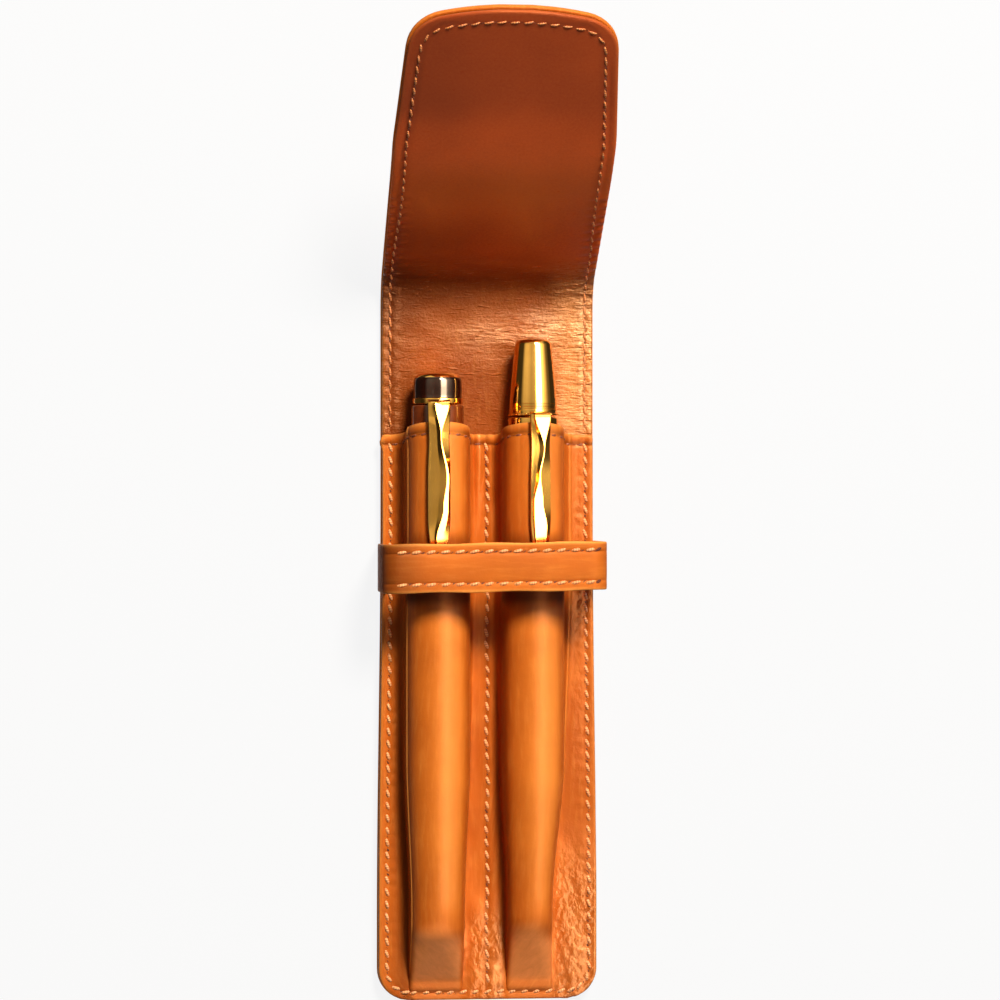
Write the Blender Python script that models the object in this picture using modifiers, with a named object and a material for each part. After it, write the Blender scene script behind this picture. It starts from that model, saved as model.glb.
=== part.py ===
# Double pen case: a moulded leather case that lies on its back with its flap standing open,
# holding two capped pens. Metres, +X to the right, +Y towards the flap, +Z out of the front.
# The origin is the centre of the flat back face.

import bpy
import bmesh
from math import acos, cos, pi, radians, sin, sqrt, tan
from mathutils import Matrix, Vector

# Leather and board, from the back face forwards
outer_leather = 0.0011
board_thickness = 0.0005
lining_leather = 0.0009
pocket_leather = 0.0012
layer_gap = 0.00025
seat_gap = 0.0003

# Thread
thread_radius = 0.0002
thread_gap = 0.00015
seam_inset = 0.0015
flap_seam_inset = 0.0024
strap_seam_inset = 0.0020
hem_depth = 0.0019

# Pens, which set the size of the case: each lies on the lining beside the centre seam
pen_clearance = 0.0003
pens_from_end = 0.0235
left_pen = {
    "side": "left",
    "seam_flat": 0.0034,
    "cap_radius": 0.0065,
    "barrel_radius": 0.0063,
    "tail_radius": 0.0050,
    "barrel_length": 0.0605,
    "cap_length": 0.0638,
    "crown_length": 0.0060,
    "crown_base": 0.0059,
    "crown_top": 0.0057,
    "crown_round": 0.0026,
    "clip_length": 0.0396,
    "clip_width": 0.0056,
    "clip_turn": radians(-2.5),
    "push_in": 0.003,
    "outer_fillet": 0.00415,
    "inner_fillet": 0.0025,
}
right_pen = {
    "side": "right",
    "seam_flat": 0.0023,
    "cap_radius": 0.0062,
    "barrel_radius": 0.0060,
    "tail_radius": 0.0031,
    "barrel_length": 0.0615,
    "cap_length": 0.0599,
    "ring_length": 0.0014,
    "crown_length": 0.0158,
    "crown_base": 0.0059,
    "crown_top": 0.0045,
    "crown_round": 0.0016,
    "clip_length": 0.0367,
    "clip_width": 0.0052,
    "clip_turn": radians(6),
    "push_in": 0.001,
    "outer_fillet": 0.0030,
    "inner_fillet": 0.0022,
}
pens = [left_pen, right_pen]
barrel_taper = 0.0385
collar_length = 0.0014
collar_radius = 0.0061
collar_bore = 0.0020
stud_radius = 0.0017
cap_wall = 0.0009
cap_end = 0.0030
barrel_wall = 0.0010
tail_round = 0.0015
section_radius = 0.0042
section_length = 0.0200
section_plug = 0.0080
section_step = 0.0004
section_round = 0.0006
nib_radius = 0.0026
nib_length = 0.0160
nib_straight = 0.0072
nib_point = 0.0004
cartridge_radius = 0.0029
cartridge_length = 0.0380

# Clips: a twisted blade whose ridge sways from side to side
clip_lift = 0.0007
clip_sheet = 0.0007
clip_ridge = 0.0009
clip_tip_width = 0.0034
clip_taper = 0.0100
clip_swing = 0.0016
clip_bend = 0.0008
clip_half_waves = 3
shoulder_ridge = 0.3
ridge_fade = 0.7

# Pockets
seam_x = -0.0003
mouth_margin = 0.0016
mouth_lean = 0.0031
mouth_lean_length = 0.012
pocket_flat_end = 0.0045
pleat_half_width = 0.0056
fillet_height = 0.0040
fillet_share = 0.3
crown_share = 0.55

# Plan of the case
edge_rim = 0.0008
board_margin = 0.0042
bottom_flare = 0.0009
bottom_corner = 0.008
flare_to = 0.020
waist_from = 0.120
fold_room = 0.0071

# Flap: a tight fold, a steep panel, a slight outward curl and a rounded tip
fold_radius = 0.0095
fold_angle = radians(57)
fold_closed_angle = radians(90)
steep_length = 0.0356
curl_length = 0.020
curl_angle = radians(16)
tip_length = 0.0324
flap_taper_from = 0.050
tip_narrowing = 0.0019
tip_corner = 0.010
tip_edge_radius = 0.074
tip_flat = 0.0001
spine_length = 0.0090
top_fold_length = 0.016
top_fold_closed_angle = radians(106)

# Keeper strap: a doubled band whose ends turn in between the back and the lining
strap_below_mouth = 0.03205
strap_width = 0.0119
strap_skin = 0.0011
strap_backing = 0.0010
strap_side_gap = 0.00047
strap_corner = 0.0030
strap_tilt = radians(0.85)
foot_gap = 0.0016
tuck_gap = 0.00045

# Roundness of arcs, turned pieces and rows
turn_steps = 20
arc_steps = 5
fold_steps = 6
arch_steps = 10
clip_rungs = 12
round_steps = 2
strip_row_gap = 0.00005
pocket_row_gap = 0.0004

# Heights and places that follow from the stack and the pens
board_depth = lining_leather + layer_gap
outer_depth = board_depth + board_thickness + layer_gap
lining_z = outer_depth + outer_leather
pocket_z = lining_z + seat_gap
flange_z = pocket_z + pocket_leather
stitch_room = seam_inset + thread_radius + thread_gap
board_inset = edge_rim + board_margin


def pen_sign(pen):
    return -1 if pen["side"] == "left" else 1


def pocket_radius(pen):
    return pen["cap_radius"] + pen_clearance


def pen_x(pen):
    return seam_x + pen_sign(pen) * (pen["seam_flat"] + pen["inner_fillet"] + pocket_radius(pen))


def pen_axis_z(pen):
    return lining_z + pocket_radius(pen)


def pocket_crown_z(pen):
    return pen_axis_z(pen) + pocket_radius(pen) + pocket_leather


def cap_mouth(pen):
    return pens_from_end + pen["barrel_length"]


def head_from(pen):
    return cap_mouth(pen) + pen["cap_length"]


def ring_from(pen):
    return head_from(pen) + 2 * seat_gap + collar_length


def crown_from(pen):
    if "ring_length" in pen:
        return ring_from(pen) + pen["ring_length"] + seat_gap
    return ring_from(pen)


def crown_end(pen):
    return crown_from(pen) + pen["crown_length"]


mouth_at = min(head_from(pen) for pen in pens) - mouth_margin - mouth_lean
back_length = max(crown_end(pen) for pen in pens) + fold_room
origin_along = back_length / 2
fold_length = fold_radius * fold_angle
fold_end = back_length + fold_length
spine_end = fold_end + spine_length
top_fold_end = spine_end + top_fold_length
flap_length = fold_end + steep_length + curl_length + tip_length
flap_wide_at = fold_end + flap_taper_from
tube_reach = max(abs(pen_x(pen)) + pocket_radius(pen) + pen["outer_fillet"] for pen in pens)
waist_half_width = tube_reach + stitch_room + edge_rim
bottom_half_width = waist_half_width + bottom_flare
tip_half_width = waist_half_width - tip_narrowing
clip_top = max(pocket_crown_z(pen) for pen in pens) + clip_lift + clip_sheet + clip_ridge
strap_inner_z = clip_top + tuck_gap + lining_z + tuck_gap
strap_centre = mouth_at - strap_below_mouth


# Materials

def material(name, colour, roughness, metallic=0.0):
    made = bpy.data.materials.new(name)
    made.use_nodes = True
    shader = made.node_tree.nodes["Principled BSDF"]
    shader.inputs["Base Color"].default_value = (*colour, 1.0)
    shader.inputs["Roughness"].default_value = roughness
    shader.inputs["Metallic"].default_value = metallic
    made.diffuse_color = (*colour, 1.0)
    return made


for thing in list(bpy.data.objects):
    bpy.data.objects.remove(thing)

tan_leather = material("tan_leather", (0.56, 0.19, 0.045), 0.38)
lining_tan = material("lining_leather", (0.45, 0.15, 0.04), 0.45)
thread = material("thread", (0.66, 0.28, 0.11), 0.7)
grey_board = material("grey_board", (0.36, 0.33, 0.29), 0.9)
polished_gold = material("polished_gold", (0.86, 0.60, 0.20), 0.12, 1.0)
black_plastic = material("black_plastic", (0.02, 0.02, 0.022), 0.3)
nib_steel = material("nib_steel", (0.62, 0.62, 0.62), 0.2, 1.0)
ink_plastic = material("ink_plastic", (0.05, 0.08, 0.30), 0.3)

parts = bpy.data.collections.new("double_pen_case")
bpy.context.scene.collection.children.link(parts)


# Curves and stations

def smooth(value):
    inside = min(max(value, 0.0), 1.0)
    return inside * inside * (3 - 2 * inside)


def blend(low, high, value):
    return low + (high - low) * value


def arc(centre_x, centre_y, radius, start, end, steps):
    return [
        (
            centre_x + radius * cos(blend(start, end, step / steps)),
            centre_y + radius * sin(blend(start, end, step / steps)),
        )
        for step in range(steps + 1)
    ]


# The case strip: the lining's front face, followed from the closed end to the flap's tip

def strip_point(along):
    curl_start = fold_end + steep_length
    curl_end = curl_start + curl_length
    if along <= back_length:
        return along, lining_z, 0.0
    turned = min(along - back_length, fold_length) / fold_radius
    y = back_length + fold_radius * sin(turned)
    z = lining_z + fold_radius * (1 - cos(turned))
    if along <= fold_end:
        return y, z, turned
    straight = min(along, curl_start) - fold_end
    y += straight * cos(fold_angle)
    z += straight * sin(fold_angle)
    if along <= curl_start:
        return y, z, fold_angle
    curl_radius = curl_length / curl_angle
    eased = min(along - curl_start, curl_length) / curl_radius
    heading = fold_angle - eased
    y += curl_radius * (sin(fold_angle) - sin(heading))
    z += curl_radius * (cos(heading) - cos(fold_angle))
    if along > curl_end:
        y += (along - curl_end) * cos(heading)
        z += (along - curl_end) * sin(heading)
    return y, z, heading


def strip_place(x, along, height):
    y, z, heading = strip_point(along)
    return Vector((x, y - origin_along - height * sin(heading), z + height * cos(heading)))


def plan_half_width(along):
    if along < waist_from:
        share = smooth((along - flare_to) / (waist_from - flare_to))
        return blend(bottom_half_width, waist_half_width, share)
    taper_end = flap_length - tip_corner
    share = min(max((along - flap_wide_at) / (taper_end - flap_wide_at), 0.0), 1.0)
    return blend(waist_half_width, tip_half_width, share)


def tip_shape(inset):
    edge = tip_edge_radius - inset
    corner = tip_corner - inset
    corner_x = tip_half_width - inset - corner
    corner_back = edge - sqrt((edge - corner) ** 2 - corner_x**2)
    edge_back = edge - edge * (edge - corner_back) / (edge - corner)
    return edge, corner, corner_x, corner_back, edge_back


def half_width(along, inset):
    wide = plan_half_width(along) - inset
    from_bottom = along - inset
    corner = bottom_corner - inset
    if from_bottom < corner:
        return wide - corner + sqrt(max(corner**2 - (corner - from_bottom) ** 2, 0.0))
    from_tip = flap_length - inset - along
    edge, corner, corner_x, corner_back, edge_back = tip_shape(inset)
    if from_tip < edge_back:
        return sqrt(max(edge**2 - (edge - from_tip) ** 2, 0.0))
    if from_tip < corner_back:
        return min(wide, corner_x + sqrt(corner**2 - (corner_back - from_tip) ** 2))
    return wide


def bend_stations():
    curl_start = fold_end + steep_length
    found = [back_length + fold_length * step / fold_steps for step in range(fold_steps + 1)]
    found += [curl_start + curl_length * step / arc_steps for step in range(arc_steps + 1)]
    found += [flare_to, blend(flare_to, waist_from, 0.5), waist_from, flap_wide_at]
    return found


def corner_stations(inset):
    corner = bottom_corner - inset
    found = [inset + y for x, y in arc(0, corner, corner, -pi / 2, 0, arc_steps)]
    edge, corner, corner_x, corner_back, edge_back = tip_shape(inset)
    tip = flap_length - inset
    reach = edge * corner_x / (edge - corner)
    for step in range(1, arc_steps + 1):
        x = reach * step / arc_steps
        found.append(tip - edge + sqrt(edge**2 - x**2))
    steepest = acos(corner_x / (edge - corner))
    for x, y in arc(0, 0, corner, 0, steepest, arc_steps):
        found.append(tip - corner_back + y)
    return found


def stations(start, end, inset):
    found = sorted(bend_stations() + corner_stations(inset))
    rows = [start]
    for along in found:
        if rows[-1] + strip_row_gap < along < end - strip_row_gap:
            rows.append(along)
    return rows + [end]


# Building objects

def add_object(name, data, look):
    made = bpy.data.objects.new(name, data)
    data.materials.append(look)
    parts.objects.link(made)
    return made


def solidify(made, thickness, offset):
    wall = made.modifiers.new("wall", "SOLIDIFY")
    wall.thickness = thickness
    wall.offset = offset
    wall.use_even_offset = True
    return wall


def grid_surface(name, columns, rows, place, look):
    shape = bmesh.new()
    bmesh.ops.create_grid(shape, x_segments=columns, y_segments=rows, size=1)
    for vertex in shape.verts:
        column = round((vertex.co.x + 1) / 2 * columns)
        row = round((vertex.co.y + 1) / 2 * rows)
        vertex.co = place(column, row)
    shape.normal_update()
    mesh = bpy.data.meshes.new(name)
    shape.to_mesh(mesh)
    shape.free()
    mesh.shade_smooth()
    mesh.set_sharp_from_angle(angle=radians(35))
    return add_object(name, mesh, look)


def strip_sheet(name, start, end, inset, depth, thickness, look):
    rows = stations(start, end, inset)

    def place(column, row):
        along = rows[row]
        side = -1 if column == 0 else 1
        return strip_place(side * half_width(along, inset), along, -depth)

    made = grid_surface(name, 1, len(rows) - 1, place, look)
    solidify(made, thickness, -1)
    return made


def turned(name, profile, pen, look, closed=False):
    mesh = bpy.data.meshes.new(name)
    edges = [(step, step + 1) for step in range(len(profile) - 1)]
    if closed:
        edges.append((len(profile) - 1, 0))
    mesh.from_pydata([(radius, 0, along) for radius, along in profile], edges, [])
    made = add_object(name, mesh, look)
    screw = made.modifiers.new("turn", "SCREW")
    screw.steps = turn_steps
    screw.render_steps = turn_steps
    screw.use_merge_vertices = True
    screw.merge_threshold = 0.00001
    made.rotation_euler = (-pi / 2, 0, 0)
    made.location = (pen_x(pen), -origin_along, pen_axis_z(pen))
    return made


# Threads: each seam's thread is one line along its path, laid on the leather's face

def thread_line(name, path):
    curve = bpy.data.curves.new(name, "CURVE")
    curve.dimensions = "3D"
    curve.bevel_depth = thread_radius
    curve.bevel_resolution = 1
    curve.use_fill_caps = True
    line = curve.splines.new("POLY")
    line.points.add(len(path) - 1)
    for point, (here, normal) in zip(line.points, path):
        point.co = (*(here + normal * (thread_gap + thread_radius)), 1)
    return add_object(name, curve, thread)


def strip_normal(along):
    heading = strip_point(along)[2]
    return Vector((0, -sin(heading), cos(heading)))


def strip_row(side, start, end, inset):
    rows = stations(start, end, inset)
    return [
        (strip_place(side * half_width(along, inset), along, 0), strip_normal(along))
        for along in rows
    ]


# Back and flap: outer leather, board and lining, cut into the panels and folds that move

strip_sheet("back_outer_leather", 0, back_length, 0, outer_depth, outer_leather, tan_leather)
strip_sheet("back_board", board_inset, back_length - seat_gap, board_inset, board_depth,
            board_thickness, grey_board)
strip_sheet("back_lining", edge_rim, back_length, edge_rim, 0, lining_leather, lining_tan)

sides = ((-1, "left"), (1, "right"))
fold_parts = []
spine_parts = []
top_fold_parts = []
flap_parts = []
for panel, group, start, end in (
    ("fold", fold_parts, back_length + seat_gap, fold_end),
    ("spine", spine_parts, fold_end + seat_gap, spine_end),
    ("top_fold", top_fold_parts, spine_end + seat_gap, top_fold_end),
):
    group.append(strip_sheet(panel + "_outer_leather", start, end, 0, outer_depth,
                             outer_leather, tan_leather))
    group.append(strip_sheet(panel + "_lining", start, end, edge_rim, 0, lining_leather, lining_tan))
    for side, side_name in sides:
        row = strip_row(side, start + seat_gap, end - seat_gap, edge_rim + seam_inset)
        group.append(thread_line(panel + "_thread_" + side_name, row))

flap_start = top_fold_end + seat_gap
flap_parts.append(strip_sheet("flap_outer_leather", flap_start, flap_length - tip_flat, 0,
                              outer_depth, outer_leather, tan_leather))
flap_parts.append(strip_sheet("flap_board", flap_start, flap_length - board_inset - tip_flat,
                              board_inset, board_depth, board_thickness, grey_board))
flap_parts.append(strip_sheet("flap_lining", flap_start, flap_length - edge_rim - tip_flat,
                              edge_rim, 0, lining_leather, lining_tan))
tip_row_inset = edge_rim + flap_seam_inset
tip_row_end = flap_length - tip_row_inset - tip_flat
left_row = strip_row(-1, flap_start + seat_gap, tip_row_end, tip_row_inset)
right_row = strip_row(1, flap_start + seat_gap, tip_row_end, tip_row_inset)
flap_parts.append(thread_line("flap_thread", left_row + right_row[::-1]))


# Pockets: one moulded tube over each pen, fading into the flat closed end

taper_from = pens_from_end + barrel_taper


def taper_share(along):
    return smooth((taper_from - along) / barrel_taper)


def barrel_radius(pen, along):
    return blend(pen["barrel_radius"], pen["tail_radius"], taper_share(along))


def tube_radius(pen, along):
    narrow = pocket_radius(pen) - pen["barrel_radius"] + pen["tail_radius"]
    return blend(pocket_radius(pen), narrow, taper_share(along))


def tube_fade_end(pen):
    return pens_from_end - pen["push_in"] - 2 * seat_gap


def tube_share(pen, along):
    return smooth((along - pocket_flat_end) / (tube_fade_end(pen) - pocket_flat_end))


def tube_height(pen, along):
    return (pen_axis_z(pen) + tube_radius(pen, along) - pocket_z) * tube_share(pen, along)


def tube_half_width(pen, along):
    return blend(pleat_half_width, tube_radius(pen, along), tube_share(pen, along))


def pocket_sides(pen, along):
    edge = half_width(along, edge_rim)
    if pen["side"] == "left":
        return -edge, seam_x - seat_gap / 2
    return seam_x + seat_gap / 2, edge


def pocket_section(pen, along):
    height = tube_height(pen, along)
    wide = tube_half_width(pen, along)
    crown = min(wide, crown_share * height)
    shoulder = height - crown
    lift = min(fillet_height, fillet_share * height)
    left_fillet, right_fillet = pen["outer_fillet"], pen["inner_fillet"]
    if pen["side"] == "right":
        left_fillet, right_fillet = right_fillet, left_fillet
    points = []
    for step in range(arc_steps):
        turn = pi / 2 * step / (arc_steps - 1)
        points.append((-wide - left_fillet * (1 - sin(turn)), lift * (1 - cos(turn))))
    for step in range(arch_steps + 1):
        turn = pi - pi * step / arch_steps
        points.append((wide * cos(turn), shoulder + crown * sin(turn)))
    for step in range(arc_steps):
        turn = pi / 2 * step / (arc_steps - 1)
        points.append((wide + right_fillet * (1 - cos(turn)), lift * (1 - sin(turn))))
    low, high = pocket_sides(pen, along)
    centre = pen_x(pen)
    low_room = centre - low - stitch_room
    high_room = high - centre - stitch_room
    squeeze_low = min(1.0, low_room / (wide + left_fillet))
    squeeze_high = min(1.0, high_room / (wide + right_fillet))
    placed = [(low, 0.0)]
    for x, z in points:
        placed.append((centre + x * (squeeze_low if x < 0 else squeeze_high), z))
    placed.append((high, 0.0))
    return placed


def pocket_place(pen, along, x, z):
    crown_height = tube_height(pen, mouth_at)
    near_mouth = max(0.0, (along - mouth_at + mouth_lean_length) / mouth_lean_length)
    y = along + mouth_lean * near_mouth * z / crown_height
    return Vector((x, y - origin_along, pocket_z + z))


def pocket_rows(pen):
    corner = bottom_corner - edge_rim
    rows = [edge_rim + y for x, y in arc(0, corner, corner, -pi / 2, 0, arc_steps)]
    fade_end = tube_fade_end(pen)
    rows += [blend(pocket_flat_end, fade_end, step / arc_steps) for step in range(arc_steps + 1)]
    rows += [pens_from_end + barrel_taper * step / arc_steps for step in range(arc_steps + 1)]
    rows += [blend(taper_from, waist_from, 0.5), waist_from, mouth_at - mouth_lean_length, mouth_at]
    kept = []
    for along in sorted(rows):
        if not kept or along > kept[-1] + pocket_row_gap:
            kept.append(along)
    return kept


for pen in pens:
    rows = pocket_rows(pen)
    sections = [pocket_section(pen, along) for along in rows]

    def place(column, row):
        x, z = sections[row][column]
        return pocket_place(pen, rows[row], x, z)

    pocket = grid_surface(pen["side"] + "_pocket_front", len(sections[0]) - 1, len(rows) - 1,
                          place, tan_leather)
    solidify(pocket, pocket_leather, 1)


def hem_path(pen):
    along = mouth_at - hem_depth
    places = [pocket_place(pen, along, x, z) for x, z in pocket_section(pen, along)]
    inner = places[1:-1]
    path = []
    for step, here in enumerate(inner):
        before = inner[max(step - 1, 0)]
        after = inner[min(step + 1, len(inner) - 1)]
        run = after - before
        normal = Vector((-run.z, 0, run.x)).normalized()
        path.append((here + normal * pocket_leather, normal))
    return path


up = Vector((0, 0, 1))
seam_stop = mouth_at - hem_depth - 2 * thread_radius - seat_gap


def flange_path(side):
    inset = edge_rim + seam_inset
    rows = stations(inset + tip_flat, seam_stop, inset)
    return [
        (Vector((side * half_width(along, inset), along - origin_along, flange_z)), up)
        for along in rows
    ]


thread_line("edge_thread", flange_path(-1)[::-1] + flange_path(1))
seam_ends = (edge_rim + 2 * seam_inset, seam_stop)
thread_line("centre_seam_thread",
            [(Vector((seam_x, along - origin_along, flange_z)), up) for along in seam_ends])
for pen in pens:
    thread_line(pen["side"] + "_mouth_thread", hem_path(pen))
for side, side_name in sides:
    row = strip_row(side, mouth_at + seam_inset, back_length - seat_gap, edge_rim + seam_inset)
    thread_line("lining_thread_" + side_name, row)


# Keeper strap: each layer is a bent outline across the case, given the strap's width

def flat_outline(name, points, thickness, look):
    curve = bpy.data.curves.new(name, "CURVE")
    curve.dimensions = "2D"
    curve.fill_mode = "BOTH"
    curve.extrude = thickness / 2
    line = curve.splines.new("POLY")
    line.points.add(len(points) - 1)
    for point, (x, y) in zip(line.points, points):
        point.co = (x, y, 0, 1)
    line.use_cyclic_u = True
    made = add_object(name, curve, look)
    made.rotation_euler = (pi / 2, 0, strap_tilt)
    made.location = (0, strap_centre - origin_along, 0)
    return made


def mirrored(half):
    return half + [(-x, y) for x, y in reversed(half)]


def band_outline(outside, bottom, top, corner, thickness):
    inside_corner = corner - thickness
    outer = [(outside, bottom)] + arc(outside - corner, top - corner, corner, 0, pi / 2, arc_steps)
    inner = [(outside - thickness, bottom)] + arc(outside - corner, top - corner, inside_corner,
                                                  0, pi / 2, arc_steps)
    return outer, inner


strap_inner_x = plan_half_width(strap_centre) - edge_rim + strap_side_gap
strap_half_width = strap_inner_x + strap_skin
backing_outside = strap_inner_x - layer_gap
backing_top = strap_inner_z + strap_backing
backing_bottom = flange_z + seat_gap
skin_top = backing_top + layer_gap + strap_skin

outer, inner = band_outline(strap_half_width, 0, skin_top, strap_corner, strap_skin)
foot_x = plan_half_width(strap_centre) - board_inset + foot_gap
foot_z = outer_leather + layer_gap
foot_top = foot_z + board_thickness
outer_half = [(foot_x, foot_z), (strap_half_width - board_thickness, foot_z),
              (strap_half_width, foot_top)] + outer[1:]
inner_half = [(foot_x, foot_top), (strap_inner_x, foot_top)] + inner[1:]
outer_loop = mirrored(outer_half)
inner_loop = mirrored(inner_half)
flat_outline("strap_outer_leather", outer_loop + inner_loop[::-1], strap_width, tan_leather)

backing_corner = strap_corner - strap_skin - layer_gap
outer, inner = band_outline(backing_outside, backing_bottom, backing_top, backing_corner,
                            strap_backing)
flat_outline("strap_backing", mirrored(outer) + mirrored(inner)[::-1], strap_width, lining_tan)

strap_reach = strap_half_width - strap_corner
for side, side_name in ((-1, "lower"), (1, "upper")):
    off_centre = side * (strap_width / 2 - strap_seam_inset)
    row = []
    for end in (-1, 1):
        x = end * strap_reach * cos(strap_tilt) - off_centre * sin(strap_tilt)
        y = strap_centre + end * strap_reach * sin(strap_tilt) + off_centre * cos(strap_tilt)
        row.append((Vector((x, y - origin_along, skin_top)), up))
    thread_line("strap_thread_" + side_name, row)


# Pens: crown, ring, clip, cap, barrel, section, nib and cartridge

def round_end(radius, top, reach, steps):
    points = [(0, top)]
    for step in range(steps + 1):
        turn = pi / 2 * (1 - step / steps)
        points.append((radius - reach + reach * cos(turn), top - reach + reach * sin(turn)))
    return points


def make_clip(pen):
    centre_z = pen_axis_z(pen)
    root = head_from(pen) + seat_gap
    collar_middle = root + collar_length / 2
    tip_at = root - pen["clip_length"]
    edge_z = pocket_crown_z(pen) + clip_lift + clip_sheet - centre_z
    route = [
        (collar_middle, collar_radius - clip_sheet, 0.0, 1.0),
        (collar_middle, edge_z - clip_bend, 0.0, 1.0),
        (collar_middle - clip_bend, edge_z, shoulder_ridge, 1.0),
    ]
    for rung in range(1, clip_rungs + 1):
        along = blend(root, tip_at, rung / clip_rungs)
        near_end = smooth(1 - (along - tip_at) / clip_taper)
        width = blend(1.0, clip_tip_width / pen["clip_width"], near_end)
        dip = clip_lift - seat_gap if rung == clip_rungs - 1 else 0.0
        route.append((along, edge_z - dip, 1 - ridge_fade * near_end, width))

    def place(column, row):
        along, z, ridge, width = route[row]
        if column == 1:
            wave = sin(clip_half_waves * pi * (root - along) / pen["clip_length"])
            return Vector((clip_swing * wave * ridge, along, z + clip_ridge * ridge))
        return Vector(((1 - column) * pen["clip_width"] / 2 * width, along, z))

    made = grid_surface(pen["side"] + "_pen_clip", 2, len(route) - 1, place, polished_gold)
    made.location = (pen_x(pen), -origin_along, centre_z)
    made.rotation_euler = (0, pen["clip_turn"], 0)
    solidify(made, clip_sheet, -1)

    ring = [(collar_bore, root + collar_length), (collar_radius, root + collar_length),
            (collar_radius, root), (collar_bore, root)]
    collar = turned(pen["side"] + "_pen_clip_collar", ring, pen, polished_gold, closed=True)
    parts.objects.unlink(collar)
    cutters.objects.link(collar)
    collar.hide_render = True
    collar.display_type = "WIRE"
    join = made.modifiers.new("collar", "BOOLEAN")
    join.operation = "UNION"
    join.object = collar
    return made, collar


def make_crown(pen):
    base = crown_from(pen)
    stud_end = head_from(pen) - cap_end + seat_gap
    crown = round_end(pen["crown_top"], crown_end(pen), pen["crown_round"], arc_steps)
    crown += [(pen["crown_base"], base), (stud_radius, base), (stud_radius, stud_end), (0, stud_end)]
    return turned(pen["side"] + "_pen_crown", crown, pen, polished_gold)


def make_ring(pen):
    low = ring_from(pen)
    high = low + pen["ring_length"]
    ring = [(collar_bore, high), (pen["crown_base"], high), (pen["crown_base"], low), (collar_bore, low)]
    return turned(pen["side"] + "_pen_ring", ring, pen, polished_gold, closed=True)


def make_cap(pen):
    head = head_from(pen)
    outer = pen["cap_radius"]
    cap = [(outer, head), (outer, cap_mouth(pen)), (outer - cap_wall, cap_mouth(pen)),
           (outer - cap_wall, head - cap_end), (collar_bore, head - cap_end), (collar_bore, head)]
    return turned(pen["side"] + "_pen_cap", cap, pen, polished_gold, closed=True)


def make_barrel(pen):
    mouth = cap_mouth(pen) - seat_gap
    tail = pens_from_end
    floor = tail + 2 * barrel_wall
    wall = []
    for step in range(1, arc_steps + 1):
        along = tail + barrel_taper * step / arc_steps
        wall.append((barrel_radius(pen, along), along))
    barrel = [(0, floor), (barrel_radius(pen, floor) - barrel_wall, floor)]
    barrel += [(radius - barrel_wall, along) for radius, along in wall]
    barrel += [(pen["barrel_radius"] - barrel_wall, mouth), (pen["barrel_radius"], mouth)]
    barrel += wall[::-1]
    barrel += [(pen["tail_radius"], tail + tail_round), (pen["tail_radius"] - tail_round, tail), (0, tail)]
    return turned(pen["side"] + "_pen_barrel", barrel, pen, polished_gold)


def make_inside(pen):
    mouth = cap_mouth(pen) - seat_gap
    plug_radius = pen["barrel_radius"] - barrel_wall - seat_gap
    plug_end = mouth - section_plug
    section_top = mouth + section_length
    section = round_end(section_radius - section_step, section_top, section_round, round_steps)
    section += [(section_radius, mouth + seat_gap), (plug_radius, mouth + seat_gap),
                (plug_radius, plug_end), (0, plug_end)]

    nib_base = section_top + seat_gap
    nib = [(0, nib_base + nib_length), (nib_point, nib_base + nib_length),
           (nib_radius, nib_base + nib_straight), (nib_radius, nib_base), (0, nib_base)]

    cartridge_top = plug_end - seat_gap
    cartridge_end = cartridge_top - cartridge_length
    cartridge = [(0, cartridge_top), (cartridge_radius, cartridge_top),
                 (cartridge_radius, cartridge_end), (0, cartridge_end)]
    return [
        turned(pen["side"] + "_pen_section", section, pen, black_plastic),
        turned(pen["side"] + "_pen_nib", nib, pen, nib_steel),
        turned(pen["side"] + "_pen_cartridge", cartridge, pen, ink_plastic),
    ]


cutters = bpy.data.collections.new("joined_shapes")
bpy.context.scene.collection.children.link(cutters)


# Joints: an empty on each moving piece's axis

def axis_empty(name, place, members, parent=None):
    empty = bpy.data.objects.new(name, None)
    parts.objects.link(empty)
    empty.location = place
    if parent:
        empty.parent = parent
        empty.matrix_parent_inverse = Matrix.Translation(parent.location).inverted()
    for member in members:
        member.parent = empty
        member.matrix_parent_inverse = Matrix.Translation(place).inverted()
    return empty


for pen in pens:
    clip, collar = make_clip(pen)
    made = [clip, collar, make_crown(pen), make_cap(pen), make_barrel(pen)] + make_inside(pen)
    if "ring_length" in pen:
        made.append(make_ring(pen))
    place = Vector((pen_x(pen), head_from(pen) - origin_along, pen_axis_z(pen)))
    axis_empty(pen["side"] + "_pen_slide", place, made)


# The line about which a bend of the leather carries its far end as the flap closes
def bent_end(length, angle):
    if angle == 0:
        return Vector((length, 0))
    return Vector((sin(angle), 1 - cos(angle))) * (length / angle)


def bend_axis(length, open_angle, closed_angle):
    opened = bent_end(length, open_angle)
    closed = bent_end(length, closed_angle)
    run = closed - opened
    half_turn = (closed_angle - open_angle) / 2
    return (opened + closed) / 2 + Vector((-run.y, run.x)) / (2 * tan(half_turn))


root_bend = bend_axis(fold_length, fold_angle, fold_closed_angle)
top_bend = bend_axis(top_fold_length, 0, top_fold_closed_angle)
root_axis = strip_place(0, back_length, 0) + Vector((0, root_bend.x, root_bend.y))
top_axis = strip_place(0, spine_end + top_bend.x, top_bend.y)
root_empty = axis_empty("root_fold_axis", root_axis, fold_parts + spine_parts + top_fold_parts)
axis_empty("top_fold_axis", top_axis, flap_parts, parent=root_empty)
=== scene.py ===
import random
from math import acos, copysign, cos, exp, hypot, pi, radians, sin, sqrt, tan
import bpy
import numpy as np
from mathutils import Matrix, Vector, noise


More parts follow.
